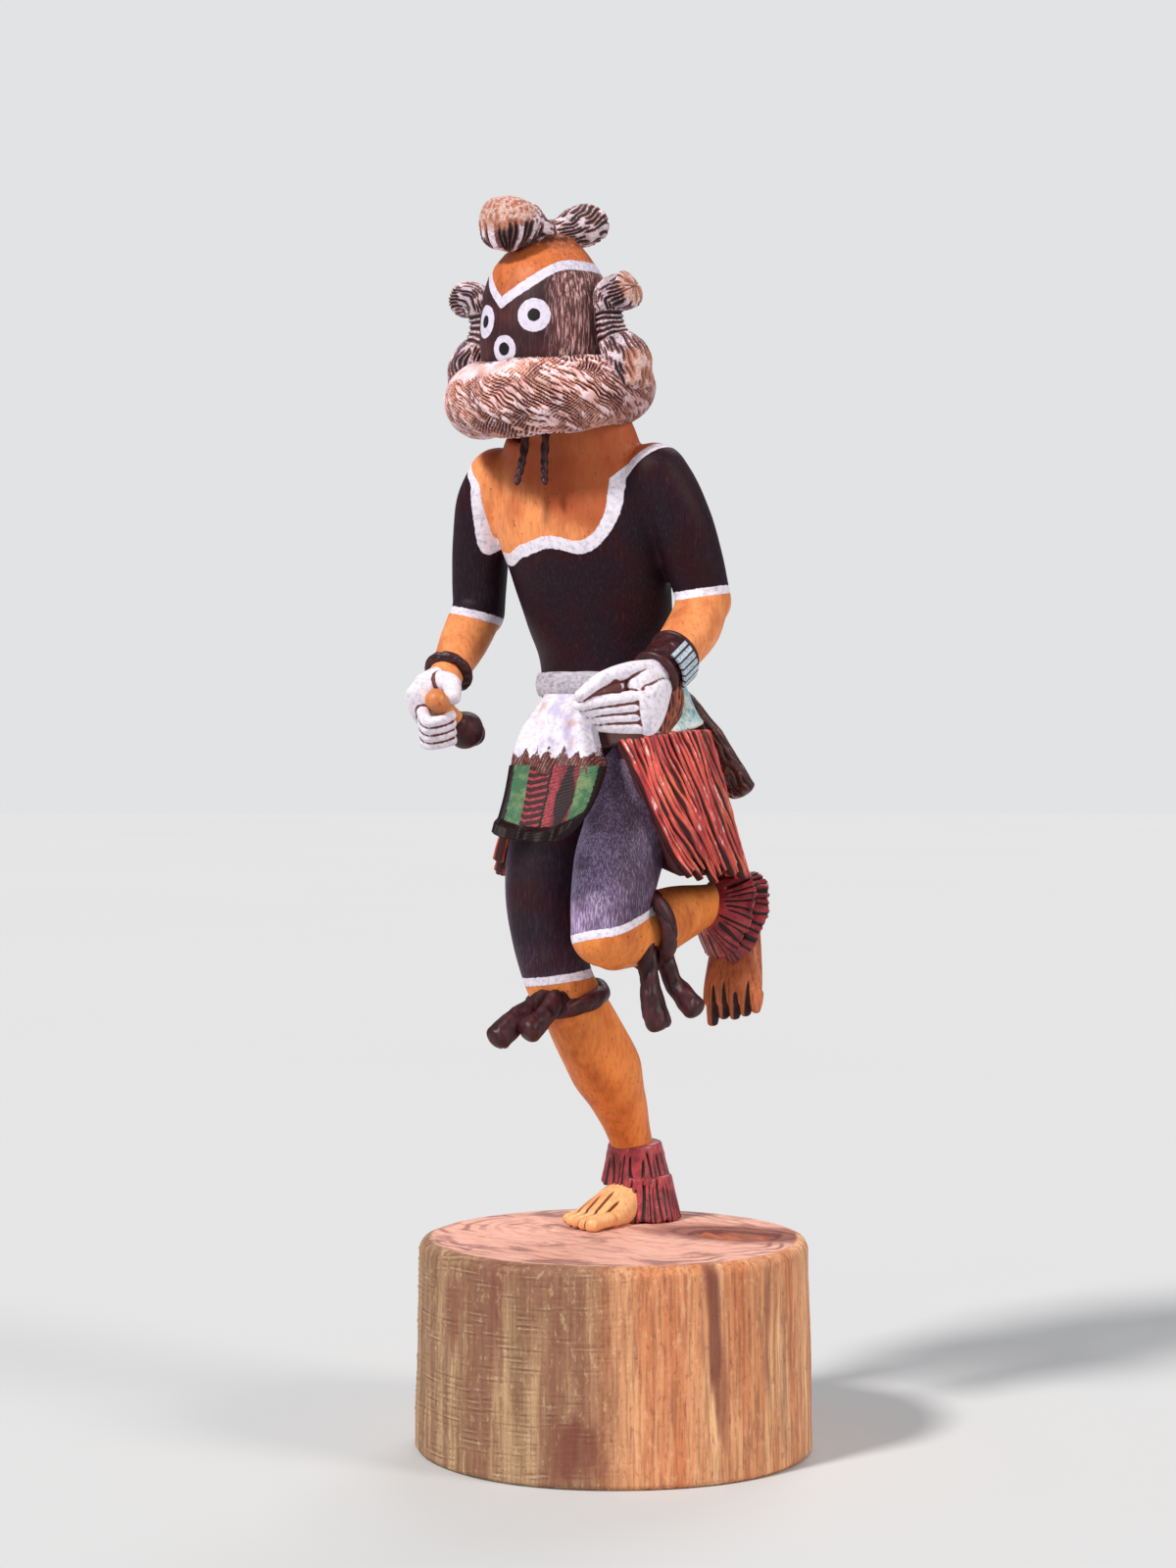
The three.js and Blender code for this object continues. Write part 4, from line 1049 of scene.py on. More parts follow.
# ------------------------------------------------------------------------------------------------------------
# The three rolls of hair: one across the crown, bound in the middle, and one standing by each ear with a bun
# above, a wound column and a puff below. The cut ends are ochre, and the rest is cut and painted with a
# dry white brush. Painted shade darkens the cuts.
def roll_cuts(count, twist, bound, hoops, bare=None):
    """Strokes along a roll, count of them round it, which lean by twist.

    bound is the stretch that is wound, from and to, with a number of hoops. bare is the middle of a lobe
    whose top is stippled and whose strokes stand upright round its lower half.
    """
    def relief(turn, along, place):
        phase = count * turn / (2 * math.pi) + twist * along + 0.8 * wave(place, 3.2, 5)
        cut = strokes(phase, place, 3.0, 0.30, count, 2)
        lobe = np.zeros(len(place))
        if bare:
            off = place - bare
            lobe = slope(4.5 - off[:, 1], 0, 1.5)
            upright = 16 * np.arctan2(off[:, 0], off[:, 1]) / math.pi + 0.4 * wave(place, 3, 2)
            low = slope(0.3 - off[:, 2] + 0.8 * wave(place, 2.5, 3), 0, 1.5)
            stipple = 0.5 * slope(wave(place, 0.75, 4), 0.0, 0.35)
            lower = 1.7 * low * strokes(upright, place, 9, 0.32, 32, 3)
            cut = (1 - lobe) * cut + lobe * (lower + (1 - low) * stipple)
        wound = slope(along, bound[0], bound[0] + 0.04) * slope(bound[1] - along, 0, 0.04)
        ring = hoops * (along - bound[0]) / (bound[1] - bound[0]) + 0.25 * wave(place, 2, 6)
        cut = (1 - wound) * cut + wound * np.exp(-((ring - np.round(ring)) / 0.24) ** 2)
        return 0.25 * wave(place, 3.4, 7) - 0.50 * cut + 0.10, 0.14 - 0.52 * cut
    return relief


def hair(shade):
    where = shade.place()
    relief = shade.attribute("relief")
    end = shade.attribute("end")
    fine = where.blotches(0.4, 4, 0.65)
    patch = where.blotches(4, 3, 0.55)
    under = shade.mix(patch.rise(0.38, 0.66), tint(134, 80, 74), tint(76, 36, 44))
    # Painted shade: nearly black in the cuts.
    colour = shade.mix(relief.rise(-0.08, -0.30), under, tint(20, 5, 9))
    dry_brush_and_glints = (relief + (fine - 0.5) * 0.55).rise(0.0, 0.16)
    colour = shade.mix(dry_brush_and_glints * patch.rise(1.1, 0.30), colour, tint(246, 228, 240))
    cut_end = shade.mix(fine.rise(0.35, 0.65), tint(208, 138, 106), tint(140, 78, 62))
    cut_end = shade.mix((relief + (fine - 0.5) * 0.9).rise(0.02, 0.26) * 0.75, cut_end, tint(248, 226, 226))
    # Painted shade: dark brown in the cuts of the ochre ends.
    cut_end = shade.mix(relief.rise(-0.15, -0.4), cut_end, tint(84, 36, 30))
    colour = shade.mix((end + (fine - 0.5) * 0.6 + (patch - 0.5) * 0.5).rise(0.35, 0.75), colour, cut_end)
    return colour, 0.5 + 0.2 * fine, 0.12 * fine


hair_paint = surface("painted_hair", hair)
CROWN_LOBE = (-7.3, -22.4, 194)
rolls = {
    "crown_hair_roll": (
        [(-7.9, -25.4, 193.8, 5.0, 4.8), (-7.3, -22.6, 194, 5.8, 5.2), (-6.4, -18.6, 193.8, 4.8, 4.5),
         (-5.4, -14.2, 193, 2.8, 2.7), (-4.8, -10.8, 193.2, 3.1, 2.8), (-4.4, -6.8, 194.6, 5.1, 3.8),
         (-4.2, -3.6, 195.6, 5.9, 4.1)], (1, 0, 0), 26, 5, (0.47, 0.56), 2, CROWN_LOBE),
    "left_hair_roll": (
        [(11.6, -9.6, 164, 4.8, 4.4), (11.2, -10.2, 168.6, 5, 4.4), (9, -11, 172.4, 3.2, 3),
         (8.4, -11.4, 176.4, 2.6, 2.5), (9, -11.6, 180, 3.8, 3.2), (12.6, -11, 181.2, 4.3, 3.6)],
        (0, 1, 0), 30, 3, (0.36, 0.68), 6, None),
    "right_hair_roll": (
        [(-24.6, -14.2, 164.6, 4.6, 4.4), (-24.2, -14.4, 169, 4.8, 4.2), (-21.8, -14.4, 173.2, 3.1, 3),
         (-21.4, -14.4, 177.4, 2.6, 2.5), (-22.6, -14.2, 181.2, 3.7, 3.2), (-26.4, -14, 182.2, 4.1, 3.4)],
        (0, 1, 0), 30, 3, (0.36, 0.68), 6, None),
}
for name, (stations, across, count, twist, bound, hoops, bare) in rolls.items():
    bm = bmesh.new()
    limb(bm, stations, 122, 122, across, 0.4, roll_cuts(count, twist, bound, hoops, bare))
    roll = named(name, bm)
    at = spots(roll.data)
    tip = np.array(stations[-1][:3])
    heading = unit(tip - np.array(stations[-2][:3]))
    end = slope((at - tip) @ heading, -0.6, 1.6)
    if bare:
        off = at - bare
        end = np.maximum(end, slope(off[:, 2] - 0.45 * off[:, 1], -1.5, 2.0) * slope(3.5 - off[:, 1], 0, 2))
    else:
        outward = np.abs(at[:, 0] + 6.5)
        end = np.maximum(end, 0.72 * slope(outward, 18.8, 21.5) * slope(172 - at[:, 2], 0, 3))
    note(roll, "end", end)
    set_on_log(roll, hair_paint)

# ------------------------------------------------------------------------------------------------------------
# The belt and the cloth round the hips, both flat paint on a smooth band: the belt white, greyed by painted
# shade, the hip cloth turquoise and white with ochre showing through, and a thin dark line along its lower
# edge.
def belt_look(shade):
    where = shade.place()
    white, marks = white_paint(shade, where)
    lines = where.scaled(0.4, 0.4, 1).blotches(0.6, 3, 0.6)
    # Painted shade: the white is greyed all over, and more in streaks.
    colour = shade.mix(0.45 + lines.rise(0.45, 0.7) * 0.4, white, tint(128, 120, 130))
    return colour, 0.5 + 0.2 * marks, 0.12 * lines


bm = bmesh.new()
band(bm, (-5.8, 4.4, 107.1), 13.5, 11.3, 0.9, 2.4, across=CHEST_ACROSS, sides=32, steps=160, crowd=-0.6,
     relief=lambda turn, section, place: 0.12 * wave(place, 4))
belt = named("belt", bm)
set_on_log(belt, surface("belt_white", belt_look))


HIP_EDGE = 97.6


def hip_look(shade):
    where = shade.place()
    patch = where.scaled(1, 1, 1.4).blotches(3.6, 4, 0.6)
    fine = where.blotches(0.8, 3, 0.6)
    colour = shade.mix(patch.rise(0.35, 0.62), tint(112, 176, 186), tint(214, 220, 214))
    colour = shade.mix(fine.rise(0.50, 0.72) * patch.rise(0.70, 0.40), colour, tint(70, 120, 140))
    colour = shade.mix(where.blotches(5, 3, 0.6).rise(0.54, 0.68) * 0.75, colour, tint(214, 150, 92))
    over_edge = where.parts()[2] - LOG_TOP - HIP_EDGE + (fine - 0.5) * 0.8
    colour = shade.mix(over_edge.rise(0.5, 0), colour, tint(66, 22, 20))
    return colour, 0.45 + 0.25 * fine, 0.10 * patch


bm = bmesh.new()
limb(bm, [(-4.7, 7, 97.4, 17.6, 15.4), (-5, 6, 102.5, 15.6, 13.6), (-5.7, 5, 105.8, 14.8, 12.4)], 130, 46,
     dome=0.1, relief=lambda turn, along, place: 0.25 * wave(place, 6, 2))
hip_cloth = named("hip_cloth", bm)
set_on_log(hip_cloth, surface("hip_turquoise", hip_look, Coat_Weight=0.10, Coat_Roughness=0.4))

# ------------------------------------------------------------------------------------------------------------
# The red fringe of the kilt: thick strands side by side, open in front and swung back by the dance, over a
# solid core. Each strand is scored along its length, and white paint catches its ridges. Painted shade
# darkens the cuts, the sides of the strands and the core.
STRANDS = 78
STRAND_HALF = 0.78
STRAND_CUTS = 5
KILT_TOP = 97
KILT_LENGTH = 26.5


def kilt_place(u, v, out, sag=0.0):
    """A place on the fringe at u round it from the left front, v down it, and out from its inner face."""
    start = 37 + 31 * v
    end = 318 - 20 * v
    turn = np.radians(start + (end - start) * u)
    sag = sag + 1.8 * (1 - slope(np.asarray(u), 0, 0.16)) * (1 - v)
    flare = 7.4 * np.maximum(v, 0) ** 0.9 + out
    return np.stack([-5.2 + (17.8 + flare) * np.sin(turn), 7.2 - (15.4 + flare) * np.cos(turn),
                     KILT_TOP - KILT_LENGTH * v - sag], axis=-1)


def slab(bm, columns, rows, place):
    """Adds a sheet with a thickness: place gives its points from u across, v down and out from its back."""
    made = bmesh.ops.create_grid(bm, x_segments=columns, y_segments=rows, size=0.5)["verts"]
    faces = list({f for v in made for f in v.link_faces})
    walls = bmesh.ops.solidify(bm, geom=faces, thickness=1)["geom"]
    whole = list({v for f in walls + faces if isinstance(f, bmesh.types.BMFace) for v in f.verts})
    at = np.array([v.co for v in whole])
    out = (at[:, 2] - at[:, 2].min()) / (at[:, 2].max() - at[:, 2].min())
    for vertex, spot in zip(whole, place(at[:, 0] + 0.5, 0.5 - at[:, 1], out)):
        vertex.co = spot
    bmesh.ops.recalc_face_normals(bm, faces=bm.faces)


def core_place(u, v, out):
    """A place on the solid core behind the strands, whose underside is a little hollow."""
    return kilt_place(u, v, -15.5 * (1 - out) - 1.4, -2.6 * v * (1 - out) + 1.2 * v * (v - 1))


def scored(strand):
    """The relief of one strand: cuts that run along it."""
    def relief(turn, along, place):
        phase = STRAND_CUTS * turn / (2 * math.pi) + 0.7 * wave(place, 5, strand)
        cut = strokes(phase, place, 7, 0.24, STRAND_CUTS, strand)
        return 0.12 * wave(place, 3, strand) - 0.30 * cut + 0.06
    return relief


bm = bmesh.new()
slab(bm, 90, 14, core_place)
# Painted shade: the core is made as dark as the cuts.
core = bm.verts.layers.float.new("relief")
for vertex in bm.verts:
    vertex[core] = -0.5
rng = np.random.default_rng(7)
for strand in range(STRANDS):
    u = (strand + 0.5) / STRANDS
    hang = 1.0 + rng.uniform(-0.075, 0.05)
    lean = rng.uniform(-0.006, 0.006)
    out = rng.uniform(-0.35, 0.45)
    wide = STRAND_HALF * rng.uniform(0.72, 1.3)
    marks = np.array([-0.02, 0.12, 0.35, 0.6, 0.82, 0.95, 1.0]) * hang
    swing = lean * marks * 2 + 0.006 * np.sin(6 * marks + 0.6 * strand)
    route = kilt_place(u + swing, marks, out + 0.3 * np.sin(5 * marks + strand))
    girths = wide * np.array([0.9, 1.0, 1.08, 1.16, 1.1, 0.78, 0.36])
    turn = math.radians(68 + 230 * u)
    # The last number darkens each strand's sides with painted shade.
    limb(bm, [(*p, g, 1.15) for p, g in zip(route, girths)], 18, 36, (math.cos(turn), math.sin(turn), 0), 0.8,
         scored(strand), 0.5)
kilt = named("kilt_fringe", bm)


def red_fringe(shade):
    where = shade.place()
    relief = shade.attribute("relief")
    fine = where.scaled(1, 1, 0.3).blotches(0.6, 4, 0.6)
    patch = where.scaled(1, 1, 0.25).blotches(4, 3, 0.6)
    colour = shade.mix(patch.rise(0.36, 0.66), tint(222, 92, 76), tint(168, 46, 50))
    colour = shade.mix(where.blotches(9, 2).rise(0.54, 0.68) * 0.5, colour, tint(222, 116, 80))
    # Painted shade: dark red in the cuts, on the strands' sides and over the core.
    colour = shade.mix(relief.rise(-0.02, -0.24), colour, tint(58, 8, 12))
    dry_brush_and_glints = (relief + (fine - 0.5) * 0.34).rise(0.05, 0.14)
    dry = where.scaled(1, 1, 0.2).blotches(2, 3).rise(0.36, 0.56)
    colour = shade.mix(dry_brush_and_glints * dry * 0.9, colour, tint(252, 216, 212))
    return colour, 0.34 + 0.25 * fine, 0.10 * fine


set_on_log(kilt, surface("red_fringe", red_fringe, Specular_IOR_Level=0.4))

# ------------------------------------------------------------------------------------------------------------
# The tail of the white sash hangs over the opening of the kilt, puffed like cloth, with a brown zigzag along
# its hem. Under it hangs the embroidered sash end: green stripes, a hatched red middle, and black side edges
# and hem.
TAIL_MIDDLE = [(-3.6, -9, 105.2), (-2.6, -13.8, 98.3), (0.2, -17.2, 90.0)]
TAIL_LENGTH = 17.6
ZIGZAG_AT = 14.4


def tail_place(u, v, out):
    """A place on the white tail: across from the right, down from the belt and out from its back."""
    half = 5.0 + 4.9 * v
    folds = 0.55 * np.sin(13 * u + 2 * v + 0.6) * slope(v, 0.15, 0.8) + 0.25 * np.sin(29 * u + 1)
    crown = 1.6 * (1 - (2 * u - 1) ** 2) + folds * out
    rim = 0.9 * slope(np.abs(2 * u - 1), 0.86, 1.0) * out
    place = spline(TAIL_MIDDLE, v) + np.outer((2 * u - 1) * half, turned(15))
    place += np.outer(out * 4 + crown - 2.6 - rim, turned(-75))
    place[:, 2] -= 0.35 * np.sin(17 * u) * slope(v, 0.8, 1.0)
    return place


def tail_look(shade):
    where = shade.place()
    u = shade.attribute("across")
    v = shade.attribute("down")
    white, marks = white_paint(shade, where)
    fine = where.blotches(0.7, 4, 0.6)
    colour = shade.mix(where.blotches(4, 3).rise(0.45, 0.70) * 0.7, white, tint(188, 178, 222))
    rubbed = where.scaled(1.2, 1.2, 0.4).blotches(3).rise(0.56, 0.70) * v.rise(0.3, 0.8)
    colour = shade.mix(rubbed * 0.6, colour, tint(206, 158, 128))
    tooth = (u * 0.36).zigzag()
    below = v - ZIGZAG_AT + tooth * 2.6 * where.blotches(2.2).rise(0.2, 0.7) + (fine - 0.5) * 1.2
    hatch = (u * 1.5 + v * 0.5).zigzag()
    scratched = hatch.rise(0.55, 0.9) * fine.rise(0.4, 0.6)
    brown = shade.mix(scratched * 0.7, tint(82, 28, 28), tint(214, 160, 140))
    brown = shade.mix(fine.rise(0.5, 0.66) * 0.6, brown, tint(92, 34, 30))
    colour = shade.mix(below.rise(0.0, 0.25), colour, brown)
    colour = shade.mix(v.rise(16.9, 17.1), colour, tint(96, 38, 36))
    return colour, 0.5 + 0.2 * marks, 0.12 * fine - 0.15 * below.rise(0.0, 0.3)


bm = bmesh.new()
slab(bm, 96, 80, tail_place)
tail = joined("white_sash_tail", bm, 0.31, 3)
at = spots(tail.data)
note(tail, "across", (at - (-3, -13.8, 98.3)) @ turned(15) + 10)
note(tail, "down", TAIL_LENGTH - (at[:, 2] - 89.8))
set_on_log(tail, surface("white_sash", tail_look))

PANEL_THICK = 3.2
PANEL_HALF = 9.7
PANEL_NARROWS = 1.2
SASH_MIDDLE = [(0.6, -17.4, 91.6), (1.7, -20.8, 84.6), (2.1, -24.4, 76.6)]


def panel_axes(v):
    """The middle of the sash end at v down it, and the way from there to its left edge."""
    turn = np.radians(15 + 6 * v)
    level = np.stack([np.cos(turn), np.sin(turn), 0 * turn], axis=-1)
    return spline(SASH_MIDDLE, v), level * (PANEL_HALF - PANEL_NARROWS * v)[:, None]


def panel_place(u, v, out):
    """A place on the sash end: across from the right, down and out from its back."""
    middle, side = panel_axes(v)
    bow = 0.35 * np.sin(3.1 * u + 0.4) * out - 0.5 * slope(np.abs(2 * u - 1), 0.90, 1.0) * out
    hem = (0.9 + 0.5 * np.sin(17 * u) + 0.3 * np.sin(31 * u + 2)) * slope(v, 0.80, 0.88) * out
    reach = (out - 0.5) * PANEL_THICK + bow + hem
    place = middle + side * (2 * u - 1)[:, None] + np.outer(reach, turned(-75))
    arc = (2 * u - 1) ** 2 * np.where(u > 0.5, 4.6, 2.4) + 0.6
    place[:, 2] += v ** 1.5 * arc - 0.4 * np.sin(9 * u + 1) * slope(v, 0.8, 1.0)
    return place


def panel_look(shade):
    where = shade.place()
    u = shade.attribute("across")
    v = shade.attribute("down")
    fine = where.blotches(0.6, 4, 0.6)
    rag = (where.blotches(1.0, 3) - 0.5) * 0.045
    edge = u + rag
    black = shade.mix(fine.rise(0.55, 0.75) * 0.4, tint(26, 7, 12), tint(84, 40, 44))
    green = shade.mix(where.blotches(2.2, 4).rise(0.4, 0.68), tint(56, 104, 72), tint(112, 134, 90))
    green = shade.mix(fine.rise(0.56, 0.72) * 0.7, green, tint(30, 58, 46))
    red = shade.mix(fine.rise(0.4, 0.7), tint(160, 56, 66), tint(104, 28, 38))
    hatch = (v * 11 + abs(edge - 0.30) * 3.6).zigzag()
    hatched = shade.mix(hatch.rise(0.62, 0.46), red, tint(44, 8, 14))
    gem = abs(edge - 0.69) * 6.0 + abs(v - 0.45) * 1.15
    dark_gem = shade.mix(gem.rise(0.72, 0.62), shade.mix(0.5, red, tint(78, 20, 28)), tint(36, 10, 18))
    colour = shade.mix(edge.rise(0.07, 0.085), black, green)
    colour = shade.mix(edge.rise(0.245, 0.255), colour, hatched)
    colour = shade.mix(edge.rise(0.470, 0.480), colour, black)
    colour = shade.mix(edge.rise(0.495, 0.505), colour, red)
    colour = shade.mix(edge.rise(0.585, 0.595), colour, dark_gem)
    colour = shade.mix(edge.rise(0.785, 0.795), colour, green)
    colour = shade.mix(edge.rise(0.970, 0.982), colour, black)
    colour = shade.mix((v + rag * 1.4).rise(0.78, 0.80), colour, black)
    colour = shade.mix(shade.attribute("face").rise(0.75, 0.6), colour, black)
    return colour, 0.42 + 0.2 * fine, 0.10 * fine - 0.10 * hatch.rise(0.6, 0.4) * edge.rise(0.25, 0.26)


bm = bmesh.new()
slab(bm, 92, 76, panel_place)
sash_end = named("sash_end", bm)
at = spots(sash_end.data)
top, hem = SASH_MIDDLE[0][2], SASH_MIDDLE[2][2]
v = np.clip((top - at[:, 2]) / (top - hem), 0, 1)
for _ in range(4):
    middle, side = panel_axes(v)
    u = (np.einsum("ij,ij->i", at - middle, side) / (side ** 2).sum(axis=1) + 1) / 2
    lift = panel_place(u, v, 0 * v)[:, 2] - middle[:, 2]
    v = np.clip((top - at[:, 2] + lift) / (top - hem), 0, 1)
note(sash_end, "across", u)
note(sash_end, "down", v)
note(sash_end, "face", (at - middle) @ turned(-75) / PANEL_THICK + 0.5)
set_on_log(sash_end, surface("embroidered_sash", panel_look, Specular_IOR_Level=0.2))

# ------------------------------------------------------------------------------------------------------------
# The fox pelt hangs from the back of the belt and swings out. It is dark brown, scored lengthwise, with
# painted shade in the cuts and a whitish painted highlight along its upper edge.
PELT_CUTS = 15


def pelt_cuts(turn, along, place):
    phase = PELT_CUTS * turn / (2 * math.pi) + 1.2 * along + 0.8 * wave(place, 4, 2)
    return 0.25 * wave(place, 4, 3) - 0.5 * strokes(phase, place, 3.5, 0.26, PELT_CUTS, 3) + 0.08


def pelt_look(shade):
    where = shade.place()
    relief = shade.attribute("relief")
    fine = where.blotches(0.6, 4, 0.6)
    x, y, z = where.parts()
    colour = shade.mix(fine.rise(0.45, 0.75), tint(66, 20, 18), tint(120, 54, 40))
    # Painted shade: nearly black in the cuts.
    colour = shade.mix(relief.rise(-0.12, -0.42), colour, tint(18, 5, 6))
    colour = shade.mix((relief + (fine - 0.5) * 0.5).rise(0.12, 0.30) * 0.6, colour, tint(206, 150, 132))
    # A painted highlight: whitish along the upper edge.
    high = (z + y * 0.75 - x * 0.1).rise(LOG_TOP + 121.5, LOG_TOP + 124.0) * fine.rise(0.35, 0.6)
    colour = shade.mix(high * 0.8, colour, tint(226, 196, 176))
    return colour, 0.34 + 0.25 * fine, 0.10 * fine


bm = bmesh.new()
limb(bm, [(-3.9, 17, 107, 3.4, 2.4), (-3.4, 22.4, 104.6, 3.8, 2.4), (-1.4, 27.6, 99, 4, 2.3),
          (1, 32.4, 91.6, 4.2, 2.3), (3, 35.8, 86.2, 3.6, 2.1)], 96, 112, relief=pelt_cuts)
pelt = named("fox_pelt", bm)
set_on_log(pelt, surface("painted_pelt", pelt_look, Coat_Weight=0.30, Coat_Roughness=0.3))

# ------------------------------------------------------------------------------------------------------------
# The ties under the knees, a twisted band each, with two thick tassels that swing forward. They are carved on
# the leg and painted an aubergine brown with a low shine.
def tie_wrinkles(turn, along, place):
    return 0.30 * wave(place, 2.6, 4) - 0.30 * slope(wave(place * (1, 1, 0.5), 1.5, 6), 0.15, 0.5)


def tie_twist(turn, section, place):
    return -0.35 * np.exp(-(np.sin(section - 3 * turn) / 0.3) ** 2) + 0.2 * wave(place, 3)


for name, ring, tassels in (
    ("raised_knee_tie", ((7.4, -0.6, 60.4), 7, 7.4, 1.5, 1.8, (0.05, 0.97, 0.22)), (
        [(10.2, -2.6, 57.4, 2.1), (11.3, -3.2, 50.6, 1.9), (12.2, -2.8, 45.6, 2.4), (12.7, -2.4, 42.4, 2.6)],
        [(10.4, 1.6, 57.4, 2), (12.2, 2.5, 50.6, 1.8), (14.4, 3.6, 47.2, 2.2), (16, 4.4, 45, 2.4)])),
    ("standing_knee_tie", ((-13.6, 1.8, 45.4), 6.9, 7, 1.6, 1.8, (0, -0.3, 1)), (
        [(-13, -4.6, 46, 2.2), (-14.2, -8.4, 44, 2.1), (-15.6, -12.4, 41, 2.6), (-16.6, -15, 38.8, 2.7)],
        [(-10.4, -4.6, 46, 2.1), (-10.6, -8.4, 42.8, 2.1), (-11.6, -11.8, 40.2, 2.6)])),
):
    bm = bmesh.new()
    band(bm, *ring, sides=24, steps=90, relief=tie_twist)
    for tassel in tassels:
        limb(bm, tassel, 36, 52, relief=tie_wrinkles)
    set_on_log(named(name, bm), tie_paint)

# ------------------------------------------------------------------------------------------------------------
# The red ankle ruffles: two tiers of pleats on the standing leg, the lower one open over the foot, and two
# that fan out backwards on the raised leg. Each has a plain collar, and deep cuts between its pleats, which
# painted shade darkens. Pale pink specks on the pleats are painted glints.
RUFFLE_PROFILE = [(0, 0), (0.94, 0), (1, 0.03), (1, 0.97), (0.96, 1), (0.5, 0.97), (0, 0.97)]
RUFFLE_ROWS = 46
RUFFLE_SIDES = 204


def ruffle(bm, at, narrow, broad, length, axis, pleats, seed, collar, curve=1.0):
    """Adds a pleated drum that widens from narrow to broad along its axis."""
    own = bmesh.new()
    drum(own, RUFFLE_PROFILE, RUFFLE_ROWS, RUFFLE_SIDES)
    mesh = meshed("drum", own)
    x, y, along = spots(mesh).T
    turn = np.arctan2(y, x)
    rim = np.hypot(x, y)
    jitter = 0.9 * wave(np.stack([3 * np.cos(turn), 3 * np.sin(turn), along * 0.6], axis=-1), 1.0, seed)
    phase = pleats * turn / (2 * math.pi) + jitter
    near = np.abs(phase - np.round(phase))
    starts = collar + 0.10 * np.sin(np.round(phase) * 2.4)
    cut = np.exp(-(near / 0.17) ** 2) * slope(along, starts, starts + 0.14) * slope(rim, 0.5, 0.9)
    girth = narrow + (broad - narrow) * along ** curve
    swell = 0.35 * np.cos(2 * math.pi * phase) * slope(along, 0.1, 0.6)
    lift = 0.30 * np.sin(np.round(phase) * 1.7 + seed) * slope(along, 0.7, 1.0)
    up, right, away = axes(axis, (1, 0, 0))
    reach = rim * girth + (swell * 0.6 - 0.85 * cut) * slope(rim, 0.5, 0.9)
    place = np.array(at, float) + np.outer(np.cos(turn) * reach, right) + np.outer(np.sin(turn) * reach, away)
    add_form(bm, mesh, place + np.outer(along * length + lift * slope(rim, 0.6, 0.95), up), -cut)


def red_ruffle(shade):
    where = shade.place()
    relief = shade.attribute("relief")
    fine = where.blotches(0.6, 4, 0.6)
    patch = where.blotches(3, 3, 0.6)
    colour = shade.mix(patch.rise(0.36, 0.66), tint(184, 62, 70), tint(128, 32, 42))
    colour = shade.mix(patch.rise(0.60, 0.76) * 0.5, colour, tint(204, 104, 84))
    # Painted shade: nearly black in the cuts between the pleats.
    colour = shade.mix(relief.rise(-0.2, -0.6), colour, tint(44, 6, 12))
    # Painted glints: pale pink specks on the pleats.
    dry_brush_and_glints = (relief * 0.8 + (fine - 0.5) * 1.0).rise(0.10, 0.24)
    colour = shade.mix(dry_brush_and_glints * patch.rise(0.7, 0.45) * 0.6, colour, tint(236, 190, 200))
    return colour, 0.28 + 0.25 * fine, 0.12 * fine


ruffle_paint = surface("red_ruffle", red_ruffle, Coat_Weight=0.35, Coat_Roughness=0.25)
for name, tiers in (
    ("upper_ankle_ruffle", [((-11.6, 20.2, 15.4), 5.3, 7.2, 8, (0, 0.05, -1), 26, 1, 0.22)]),
    ("lower_ankle_ruffle", [((-10.6, 20.8, 9), 6.2, 8.4, 8.9, (0, 0, -1), 40, 3, 0.1)]),
    ("raised_ankle_ruffle", [((7.3, 19.4, 63.6), 4.0, 9.9, 5.2, (0.34, 0.90, -0.28), 34, 5, 0.12, 0.75),
                             ((8.4, 22, 62.4), 5.0, 10.4, 5.0, (0.34, 0.90, -0.36), 30, 8, 0.1, 0.8)]),
):
    bm = bmesh.new()
    for tier in tiers:
        ruffle(bm, *tier)
    set_on_log(named(name, bm), ruffle_paint)

# ------------------------------------------------------------------------------------------------------------
# The wrists: a silver bow guard on the left, with leather straps on each side and a hanging tongue, a plain
# dark band on the right, and the gourd rattle in the right fist with its bare wooden handle.
def guard_look(shade):
    where = shade.place()
    fine = where.blotches(0.5, 4, 0.6)
    lines = shade.attribute("lines")
    silver = shade.mix(fine.rise(0.35, 0.7), tint(208, 220, 232), tint(136, 164, 182))
    colour = shade.mix(lines.rise(0.35, 0.75), silver, tint(64, 30, 30))
    return colour, 0.32 + 0.25 * fine, 0.06 * fine - 0.15 * lines


GUARD_AXIS = unit((0.2, -7.2, -4.6))
GUARD_AT = np.array([20.0, -12.0, 108.8])
GUARD_ACROSS = unit(np.cross(GUARD_AXIS, (0, 0, 1)))
GUARD_UP = np.cross(GUARD_ACROSS, GUARD_AXIS)
GUARD_RADIUS = 5.1
GUARD_LINES = 1.25


def cuff_wrinkles(turn, along, place):
    return 0.15 * wave(place, 2) - 0.2 * slope(wave(place, 1.2, 3), 0.1, 0.5)


bm = bmesh.new()
stations = [(*(GUARD_AT - GUARD_AXIS * back), wide, wide * 0.92)
            for back, wide in ((0.4, 4.5), (3.8, 4.8), (7.6, 5))]
limb(bm, stations, 90, 60, dome=0.2, relief=cuff_wrinkles)
band(bm, GUARD_AT - GUARD_AXIS * 0.4, 4.1, 4.1, 0.75, 0.8, GUARD_AXIS, sides=20, steps=72)
band(bm, GUARD_AT - GUARD_AXIS * 7.2, 4.5, 4.4, 0.75, 0.6, GUARD_AXIS, sides=20, steps=72)
cuff = named("bow_guard_leather", bm)
set_on_log(cuff, tie_paint)


